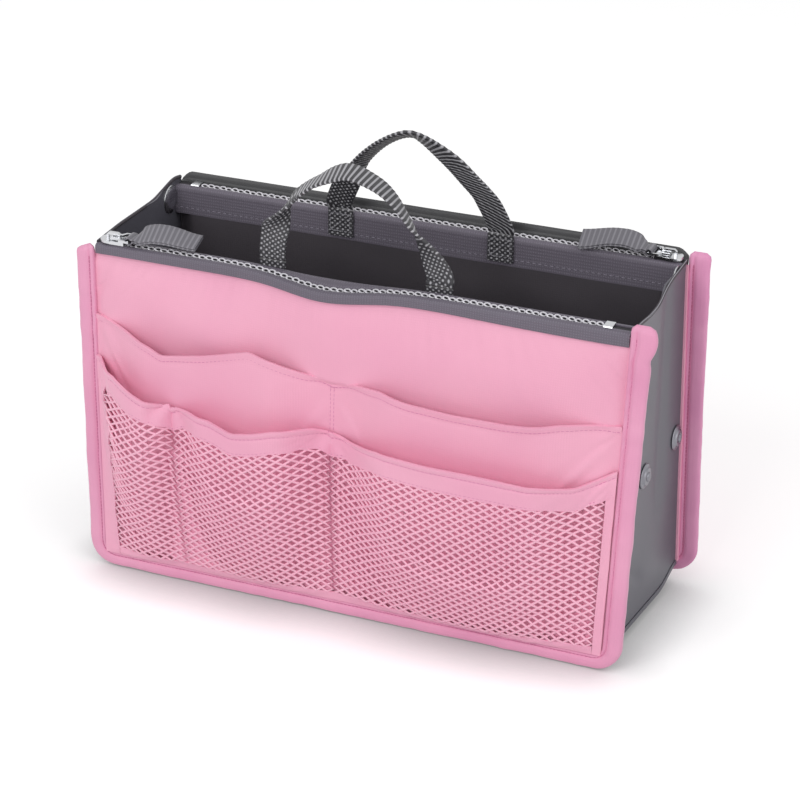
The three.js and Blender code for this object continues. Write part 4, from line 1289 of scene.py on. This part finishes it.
@dataclass
class TierCloth:
    """The cloth of a tier of pockets, settled by simulation between its seams."""

    tier: Tier
    seed: int
    creases: tuple = ()
    over: "TierCloth | None" = None
    half: float = 131.0
    columns: int = 190
    rise: int = 72
    spread: int = 12
    points: Array = field(init=False)

    def __post_init__(self) -> None:
        """Lay the cloth out and let it settle, with its top edge kept on its line and its sides in their seams."""
        x, v = np.meshgrid(np.linspace(-self.half, self.half, self.columns), np.linspace(0, 1, self.rise))
        z = FOOT + (self.tier.edge(x) - FOOT) * v
        near = np.min([np.abs(x - s) for s in self.tier.seams], axis=0)
        face = self.tier.face(x, z)
        y = face - FABRIC * 0.6 - folds(x, z, self.creases)
        y = y - ripple(x * 0.35, z, 8, self.seed) * 0.4 * np.exp(-near / 8) * smooth(near / 1.5)
        y = y - ripple(x, z, 30, self.seed + 1) * 0.5 * smooth(near / 18)
        flat = np.stack([x, y, z], -1)
        run = ClothRun(growth=0.012, pull=(0, -1.5, -6.0), cap=3.5)
        settled = run.settle(flat, (near < 0.9) | (v == 0))
        drift = settled[-1] - flat[-1]
        weights = bell(np.arange(-self.spread, self.spread + 1) / 6.0)
        for i in (0, 1):
            drift[:, i] = np.convolve(np.pad(drift[:, i], self.spread, "edge"), weights / weights.sum(), "valid")
        free = smooth((self.half - np.abs(x)) / 7)[..., None]
        self.points = flat + (settled - drift * v[..., None] - flat) * free
        limit = face - 0.35
        if self.over is not None:
            limit = np.minimum(limit, self.over.at(x, z)[..., 1] - 1.2)
        self.points[..., 1] = np.minimum(self.points[..., 1], limit)

    def at(self, x: Array, z: Array) -> Array:
        """Read where a place on the flat cloth has settled.

        Args:
            x: Place along the wall.
            z: Height on the wall.

        Returns:
            Points on the cloth.
        """
        column = np.clip((x + self.half) / (2 * self.half), 0, 1) * (self.columns - 1)
        row = np.clip((z - FOOT) / (self.tier.edge(x) - FOOT), 0, 1) * (self.rise - 1)
        i, j = np.minimum(column.astype(int), self.columns - 2), np.minimum(row.astype(int), self.rise - 2)
        a, b = (column - i)[..., None], (row - j)[..., None]
        low, high = [self.points[k, i] * (1 - a) + self.points[k, i + 1] * a for k in (j, j + 1)]
        return low * (1 - b) + high * b


@dataclass
class PocketTier:
    """A sewn part of a tier: its cloth with a rolled hem, its seams and stitches, or a plain border."""

    side: Side
    name: str
    cloth: TierCloth
    nodes: tuple = ()
    flat: tuple = ()
    low: Callable[[Array], Array] = lambda x: np.full(np.shape(x), FOOT)
    high: Callable[[Array], Array] | None = None
    span: tuple = (-131.0, 131.0)
    rise: int = 70
    hem: float = 3.0
    lift: float = 0.0
    finish: Finish = PINK_NYLON

    def __post_init__(self) -> None:
        """Reach up to the tier's edge where no other height is given."""
        self.high = self.high or self.cloth.tier.edge

    def sheet(self) -> None:
        """Build the cloth."""
        step = 2 * self.cloth.half / (self.cloth.columns - 1)
        columns = max(8, round((self.span[1] - self.span[0]) / step) + 1)
        x, v = np.meshgrid(np.linspace(*self.span, columns), np.linspace(0, 1, self.rise))
        z = self.low(x) + (self.high(x) - self.low(x)) * v
        middle = self.cloth.at(x, z)
        away = unit(np.cross(np.gradient(middle, axis=1), np.gradient(middle, axis=0)))
        away = away * -np.sign(away[..., 1:2])
        below = (self.high(x) - z)[..., None]
        hemmed = 1.0 if self.hem else 0.0
        groove = 0.3 * hemmed * bell((below - self.hem) / 0.7)
        lip = 0.4 * hemmed * smooth((self.hem - below) / 1.5)
        faces = [self.side.place(middle + away * (0.45 - groove + lip + self.lift)),
                 self.side.place(middle - away * (0.3 + 0.3 * lip - self.lift))]
        piece = closed_sheet(self.name, faces, self.finish, (x, z))
        dress(piece, self.side.body, self.nodes)

    def build(self, rows: Rows) -> None:
        """Build the cloth and its stitches.

        Args:
            rows: Lays the stitches.
        """
        self.sheet()
        xs = np.linspace(-129.5, 129.5, 260)
        outward = np.array([0, -0.35, 0])
        lines = [self.cloth.at(xs, self.high(xs) - self.hem) + outward]
        if self.low(xs).min() > 20:
            lines.append(self.cloth.at(xs, self.low(xs) + 1.2) + outward * 1.5)
        for seam in self.cloth.tier.seams[1:-1]:
            for offset in (-0.9, 0.9):
                at = np.full(90, seam + offset)
                heights = np.linspace(float(self.low(at)[0]) + 1, float(self.high(at)[0]) - 0.5, 90)
                lines.append(self.cloth.at(at, heights) + outward)
        rows.lay(f"{self.name}_stitches", [self.side.place(line) for line in lines], rows.stitch, 2.1, PINK_THREAD,
                 self.side.body)


@dataclass
class Pockets:
    """The tiers of pockets on both walls, with the nets and their borders."""

    rows: Rows
    band: float = 12.5
    net_low: float = 12.6
    pitch: tuple = (5.7, 3.9)
    strand: float = 0.66
    overlap: float = 2.2
    net_sides: tuple = (-123.2, 126.8)
    net_gap: float = 0.4

    def net_top(self, x: Array) -> Array:
        """Height at which the net goes under its band."""
        return LOWER.edge(x) - self.band

    def net(self, place: str, left: float, right: float, cloth: TierCloth, tree: Tree) -> None:
        """Build a pocket front of knitted net with diamond gaps.

        Args:
            place: Which pocket.
            left: The net's left side.
            right: Its right side.
            cloth: The cloth that it lies on.
            tree: The tree that makes strands of a lattice's edges.
        """
        step_x, step_z = self.pitch[0] / 2, self.pitch[1] / 2
        columns = max(2, round((right - left) / step_x))
        xs = np.linspace(left, right, columns + 1)
        index, points = {}, []
        for i, (x, limit) in enumerate(zip(xs, self.net_top(xs) + self.overlap)):
            for j in range(int((limit - self.net_low) / step_z) + 1):
                if (i + j) % 2 == 0:
                    index[i, j] = len(points)
                    sway = 0 if i in (0, columns) else 0.3 * math.sin(0.9 * i) * math.cos(0.35 * j)
                    points.append((x + sway, self.net_low + j * step_z))
        edges = [(here, index[i + step, j + 1]) for (i, j), here in index.items()
                 for step in (-1, 1) if (i + step, j + 1) in index]
        piece = grown(f"front_{place}_mesh", cloth.at(*np.array(points).T), edges, tree,
                      {"Radius": self.strand * MM, "Sides": 5}, PINK_NET)
        dress(piece, "front_wall", (f"front_{place}_net",))

    def build(self) -> None:
        """Build the front wall's two tiers, the back wall's pocket and the nets."""
        upper = TierCloth(UPPER, 50, (
            ((-2, 122), (60, 100), 5, 1.6), ((-14, 128), (-70, 112), 5, 1.0), ((110, 124), (40, 110), 6, 1.0)))
        PocketTier(Side.FRONT, "front_upper_pockets", upper, ("front_upper_pocket",), (0.285, 0.13)).build(self.rows)
        lower = TierCloth(LOWER, 60, over=upper)
        PocketTier(Side.FRONT, "front_lower_band", lower, ("front_mesh_band",), (0.31, self.band * MM), self.net_top,
                   rise=14, lift=0.2, finish=PINK_BORDER).build(self.rows)
        for name, span, high, rise in (("left", (-130.9, -123.0), lambda x: self.net_top(x) + 1.5, 70),
                                       ("right", (126.6, 130.9), lambda x: self.net_top(x) + 1.5, 70),
                                       ("low", (-122.8, 126.4), lambda x: np.full(np.shape(x), FOOT + 4.4), 6)):
            PocketTier(Side.FRONT, f"front_{name}_net_border", lower, high=high, span=span, rise=rise, hem=0,
                       finish=PINK_BORDER).sheet()
        behind = TierCloth(BEHIND, 66, (((10, 118), (70, 96), 6, 1.2), ((-10, 118), (-80, 100), 6, 1.0)))
        PocketTier(Side.BACK, "back_pocket_front", behind, ("back_pocket",), (0.285, 0.125)).build(self.rows)
        tree = strand_tree()
        bounds = (self.net_sides[0], *LOWER.seams[1:-1], self.net_sides[1])
        for place, left, right in zip(("left", "middle", "right"), bounds, bounds[1:]):
            self.net(place, left + self.net_gap, right - self.net_gap, lower, tree)


@dataclass
class Ends:
    """The grey strip that makes both gussets and the base, with its press studs."""

    outer_x: float = 131.0
    cloth_thick: float = 0.8
    base_half_depth: float = 43.7
    base_span: tuple = (5.5, 8.5)
    lining_half_depth: float = 35.5
    lining_z: float = 9.2
    lining_thick: float = 0.8
    pleat: tuple = (14.0, 7.0, 1.1)
    creases: tuple = (((-34, 48), (2, 24), 3.0, -0.9),)
    stud_z: float = 84.0
    stud_ys: tuple = (-8.0, 36.0)
    top_stud: tuple = (1.2, 31.0, 166.6)
    right_top: tuple = ((-46, 171.5), (-29, 170.5), (-14, 168.0), (0, 167.4), (9, 170.6), (20, 172.2), (34, 172.0),
                        (46, 172.0))
    left_top: tuple = ((-46, 173.0), (-22, 173.6), (-2, 173.0), (14, 172.6), (29, 175.2), (37, 176.4), (46, 174.2))
    cap: tuple = ((0, 0), (6.0, 0), (6.2, 0.25), (6.0, 0.6), (5.2, 0.9), (4.9, 0.95), (4.5, 1.2))
    ball: tuple = ((4.2, 1.75), (3.6, 1.95), (3.0, 1.9), (2.4, 1.95), (2.1, 2.5), (1.4, 2.8), (0, 2.9))
    dish: tuple = ((4.2, 1.7), (3.6, 1.9), (2.8, 1.85), (2.3, 1.6), (2.1, 1.0), (0, 0.95))
    disc: tuple = ((0, 0), (7.0, 0), (7.2, 0.2), (7.0, 0.55), (6.2, 0.9), (5.0, 1.25), (4.0, 1.45), (2.6, 1.4),
                   (2.0, 1.15), (0, 1.1))

    def surface(self, y: Array, z: Array) -> Array:
        """Shape a gusset's outer face, with its pleat, its crease and flat places at the studs.

        Args:
            y: Place across the insert.
            z: Height.

        Returns:
            How far the face stands from the middle plane.
        """
        edge = smooth((GUSSET_HALF - np.abs(y)) / 14) * smooth((z - FOOT) / 16)
        at, half, depth = self.pleat
        pleat = -depth * bell((y - at) / half) * smooth((z - 30) / 60)
        flat_at_studs = 1 - bell((z - self.stud_z) / 12) * 0.9
        crease = folds(y, z, self.creases)
        return self.outer_x - 0.35 + (pleat + crease + ripple(y, z, 24, 91) * 0.5 * flat_at_studs) * edge

    def gusset(self, label: str, sign: int, tops: tuple) -> None:
        """Build one gusset, with a dark hem of painted shade along its top and a pale cord of painted highlight on it.

        Args:
            label: Which gusset.
            sign: The way it faces along X.
            tops: Heights of its top edge.
        """
        ys = np.linspace(-GUSSET_HALF, GUSSET_HALF, 60)
        y, v = np.meshgrid(ys, np.linspace(0, 1, 80))
        z = FOOT + (drawn(tops, y, 8) - FOOT) * v
        faces = [np.stack([(self.surface(y, z) - offset) * sign, y, z], -1) for offset in (0, self.cloth_thick)]
        piece = closed_sheet(f"{label}_gusset_cloth", faces, GREY_NYLON, (y, z))
        dress(piece, "gusset", (f"{label}_gusset",))
        angles = np.linspace(0, math.tau, 10, endpoint=False)
        # The dark hem paints the shade inside the gusset's top edge, and the pale cord paints the highlight along it
        for what, x, lift, half, finish in (("hem", 130.25, 0.0, 0.9, DARK_LINING),
                                            ("hem_cord", 130.55, 0.75, 0.22, HIGHLIGHT_EDGE)):
            centre = np.stack([np.full(60, x * sign), ys, drawn(tops, ys, 8) - 0.6 + lift], -1)
            ring = np.stack([np.cos(angles) * half * 0.8, np.zeros(10), np.sin(angles) * half], -1)
            trim = swept(f"{label}_gusset_{what}", centre[:, None, :] + ring, finish, (ys[:, None], angles))
            dress(trim, "gusset")

    def base(self) -> None:
        """Build the padded base and the lining on it."""
        ends, half = np.linspace(-self.outer_x, -112, 14), self.base_half_depth
        x, y = np.meshgrid(np.concatenate([ends, np.linspace(-108, 108, 55), -ends[::-1]]),
                           np.linspace(-half, half, 44))
        roll = np.maximum(1 - smooth((self.outer_x - np.abs(x)) / 20), 1 - smooth((half - np.abs(y)) / 20))
        rise, top = self.base_span
        faces = [np.stack([x, y, z], -1) for z in (rise * roll, top - 0.3 * roll)]
        pad = dress(closed_sheet("base_pad", faces, GREY_NYLON, (x, y)), "root", ("bottom_base",))
        half_x, half_y = LINING_HALF, self.lining_half_depth
        x, y = np.meshgrid(np.linspace(-half_x, half_x, 110), np.linspace(-half_y, half_y, 30))
        edge = smooth(np.minimum(half_x - np.abs(x), half_y - np.abs(y)) / 12)
        z = self.lining_z + 0.35 * ripple(x, y, 26, 97) * edge
        faces = [np.stack([x, y, z + lift], -1) for lift in (-self.lining_thick / 2, self.lining_thick / 2)]
        cloth = closed_sheet("base_lining", faces, DARK_LINING, (x, y))
        dress(cloth, "root", ("bottom_lining",))

    def build(self) -> None:
        """Build both gussets, the base and the studs: domed and dished outside, larger discs inside near the top."""
        self.gusset("left", -1, self.left_top)
        self.gusset("right", 1, self.right_top)
        self.base()
        (front_y, back_y), (inset, top_y, top_z) = self.stud_ys, self.top_stud
        for label, sign in (("left", -1), ("right", 1)):
            for what, profile, place, facing, body, finish in (
                    ("front", self.cap + self.ball, (self.outer_x, front_y, self.stud_z), 1, "front_wall", GUNMETAL),
                    ("back", self.cap + self.dish, (self.outer_x, back_y, self.stud_z), 1, "root", GUNMETAL),
                    ("top", self.disc, (self.outer_x - inset, top_y, top_z), -1, "root", NICKEL)):
                stud = lathed(f"{label}_{what}_stud", np.array(profile), np.array(place) * [sign, 1, 1],
                              np.array([sign * facing, 0.0, 0.0]), finish)
                dress(stud, body, (f"{label}_{what}_popper",))


@dataclass
class Studio:
    """The camera, the lamps and the pale floor."""

    target: tuple = (0, 0, 80)
    azimuth: float = 0.37699
    elevation: float = 0.46636
    roll: float = 0.00979
    distance: float = 1198.3
    focal_px: float = 2479.7
    centre_px: tuple = (388.75, 427.47)
    frame_px: float = 800
    sensor: float = 36.0
    floor_half: float = 3000.0
    contact: float = 30.0
    lamp_m: float = 1.2
    world_level: float = 0.62
    floor_shade: tuple = (0.8, 1.12)
    floor_glow: float = 0.2
    lamps: tuple = (("key_lamp", (-0.45, -1.75, 1.25), 14.6), ("fill_lamp", (1.4, -0.6, 0.9), 5))

    def camera(self) -> None:
        """Set the camera at the photograph's place."""
        level = math.cos(self.elevation)
        back = np.array([math.sin(self.azimuth) * level, -math.cos(self.azimuth) * level, math.sin(self.elevation)])
        right = unit(np.cross([0, 0, 1.0], back))
        up = np.cross(back, right)
        cos, sin = math.cos(self.roll), math.sin(self.roll)
        right, up = cos * right + sin * up, -sin * right + cos * up
        data = bpy.data.cameras.new("camera")
        data.sensor_width = self.sensor
        data.lens = self.focal_px / self.frame_px * self.sensor
        data.shift_x = 0.5 - self.centre_px[0] / self.frame_px
        data.shift_y = self.centre_px[1] / self.frame_px - 0.5
        data.clip_start, data.clip_end = 0.05, 20
        camera = linked("camera", data)
        place = Matrix.Translation(Vector((np.array(self.target) + back * self.distance) * MM))
        camera.matrix_world = place @ Matrix(np.stack([right, up, back], -1).tolist()).to_4x4()
        bpy.context.scene.camera = camera

    def lamp(self, name: str, place: tuple, watts: float) -> None:
        """Add a soft area lamp that faces the object.

        Args:
            name: Name of the lamp.
            place: Where it stands, in metres.
            watts: Its power.
        """
        data = bpy.data.lights.new(name, "AREA")
        data.size, data.energy = self.lamp_m, watts
        lamp = linked(name, data)
        lamp.location = place
        lamp.rotation_euler = (Vector(self.target) * MM - Vector(place)).to_track_quat("-Z", "Y").to_euler()

    def shown(self, tree: Tree) -> Socket:
        """Tell the rays that show a background, straight or in metal and glass, from those that light.

        Args:
            tree: The material's or the world's tree.

        Returns:
            The socket, 1 for the rays that show.
        """
        rays = add_node(tree, "ShaderNodeLightPath").outputs
        straight = maths(tree, "MAXIMUM", rays["Is Camera Ray"], rays["Is Transmission Ray"])
        return maths(tree, "MAXIMUM", straight, rays["Is Glossy Ray"])

    def world(self) -> None:
        """Light the scene softly from all round, and show white behind it."""
        world = bpy.data.worlds.new("studio")
        world.use_nodes = True
        tree = world.node_tree
        tree.nodes.clear()
        sky = add_node(tree, "ShaderNodeBackground", inputs={
            "Color": linear("FFFFFF"), "Strength": ranged(tree, self.shown(tree), (self.world_level, 1.0))})
        add_node(tree, "ShaderNodeOutputWorld", inputs={"Surface": sky.outputs[0]})
        bpy.context.scene.world = world

    def floor(self) -> None:
        """Lay a pale floor that shows white apart from the object's shadow and a painted contact shadow near it."""
        corners = np.array([(-1, -1, 0), (1, -1, 0), (1, 1, 0), (-1, 1, 0)]) * self.floor_half * MM
        mesh = bpy.data.meshes.new("floor")
        mesh.from_pydata(corners.tolist(), [], [(0, 1, 2, 3)])
        material, tree = new_material("pale floor")
        shown = self.shown(tree)
        shade = ranged(tree, shown, self.floor_shade)
        # Ambient occlusion paints a contact shadow into the floor's colour where the camera sees it
        near = add_node(tree, "ShaderNodeAmbientOcclusion", inputs={"Color": shade, "Distance": self.contact * MM})
        paint = add_node(tree, "ShaderNodeBsdfDiffuse", inputs={
            "Color": mixed(tree, shown, shade, near.outputs["Color"])})
        glow = maths(tree, "MULTIPLY", shown, self.floor_glow)
        lift = add_node(tree, "ShaderNodeEmission", inputs={"Strength": glow})
        both = add_node(tree, "ShaderNodeAddShader", inputs={0: paint.outputs[0], 1: lift.outputs[0]})
        add_node(tree, "ShaderNodeOutputMaterial", inputs={"Surface": both.outputs[0]})
        mesh.materials.append(material)
        floor = linked("floor", mesh)

    def build(self) -> None:
        """Set up the camera, the light and the floor."""
        self.camera()
        self.world()
        self.floor()
        for lamp in self.lamps:
            self.lamp(*lamp)
        bpy.context.scene.view_settings.view_transform = "Standard"


def main() -> None:
    """Build the studio and every piece of the insert."""
    logging.basicConfig(level=logging.INFO, format="%(message)s")
    Studio().build()
    rows = Rows()
    Wall(Side.FRONT, rows, UPPER, handle_turn=(
        (0, 180), (0.09, 180), (0.16, 112), (0.2, 88), (0.24, 74), (0.36, 83), (0.42, 74), (0.46, 72), (0.52, 83),
        (0.6, 90), (0.66, 98), (0.72, 105), (0.78, 111), (0.84, 135), (0.88, 150), (0.92, 168), (0.96, 180), (1, 180)),
         arch=((-1, 0), (-1, 0.1), (-0.95, 0.35), (-0.78, 0.62), (-0.5, 0.84), (-0.12, 1), (0.2, 0.94), (0.44, 0.8),
               (0.67, 0.54), (0.86, 0.32), (1, 0.1), (1, 0)),
         weave=(((0, 0.9), (0.14, 0.9), (0.3, 0), (0.82, 0), (0.92, 0.9), (1, 0.9)),
                ((0, -0.9), (0.14, -0.9), (0.3, 0), (0.82, 0), (0.92, -0.9), (1, -0.9))),
         flange_tops=(172.5, 177.5), binding_finish=PINK_BINDING, seeds=(3, 31), hinge=(-3.2, -35.2, 175.0)).build()
    Wall(Side.BACK, rows, BEHIND, handle_turn=(
        (0, 0), (0.13, 0), (0.17, 8), (0.32, 13), (0.36, 17), (0.4, 23), (0.44, 29), (0.48, 35), (0.52, 45),
        (0.56, 50), (0.64, 54), (0.76, 55), (0.8, 46), (0.84, 26), (0.87, 8), (0.89, 0), (1, 0)),
         arch=((-1, 0), (-1, 0.08), (-0.88, 0.37), (-0.7, 0.58), (-0.5, 0.78), (-0.2, 0.98), (0, 1), (0.28, 0.88),
               (0.56, 0.67), (0.8, 0.4), (1, 0.08), (1, 0)),
         weave=(((0, 1.0), (0.26, 1.0), (0.4, 0), (0.8, 0), (0.88, 0.9), (1, 0.9)),
                ((0, 1.0), (0.26, 1.0), (0.4, 0), (0.8, 0), (0.88, -0.9), (1, -0.9))),
         flange_tops=(176.0, 170.5), binding_finish=SHADED_BINDING, seeds=(8, 37), handle_height=53.5, handle_lean=22.0,
         hem=3.8, folded_flange=80, tab_roll=(-28.0, -38.0)).build()
    Pockets(rows).build()
    Ends().build()
    rows.clear()


if __name__ == "__main__":
    main()
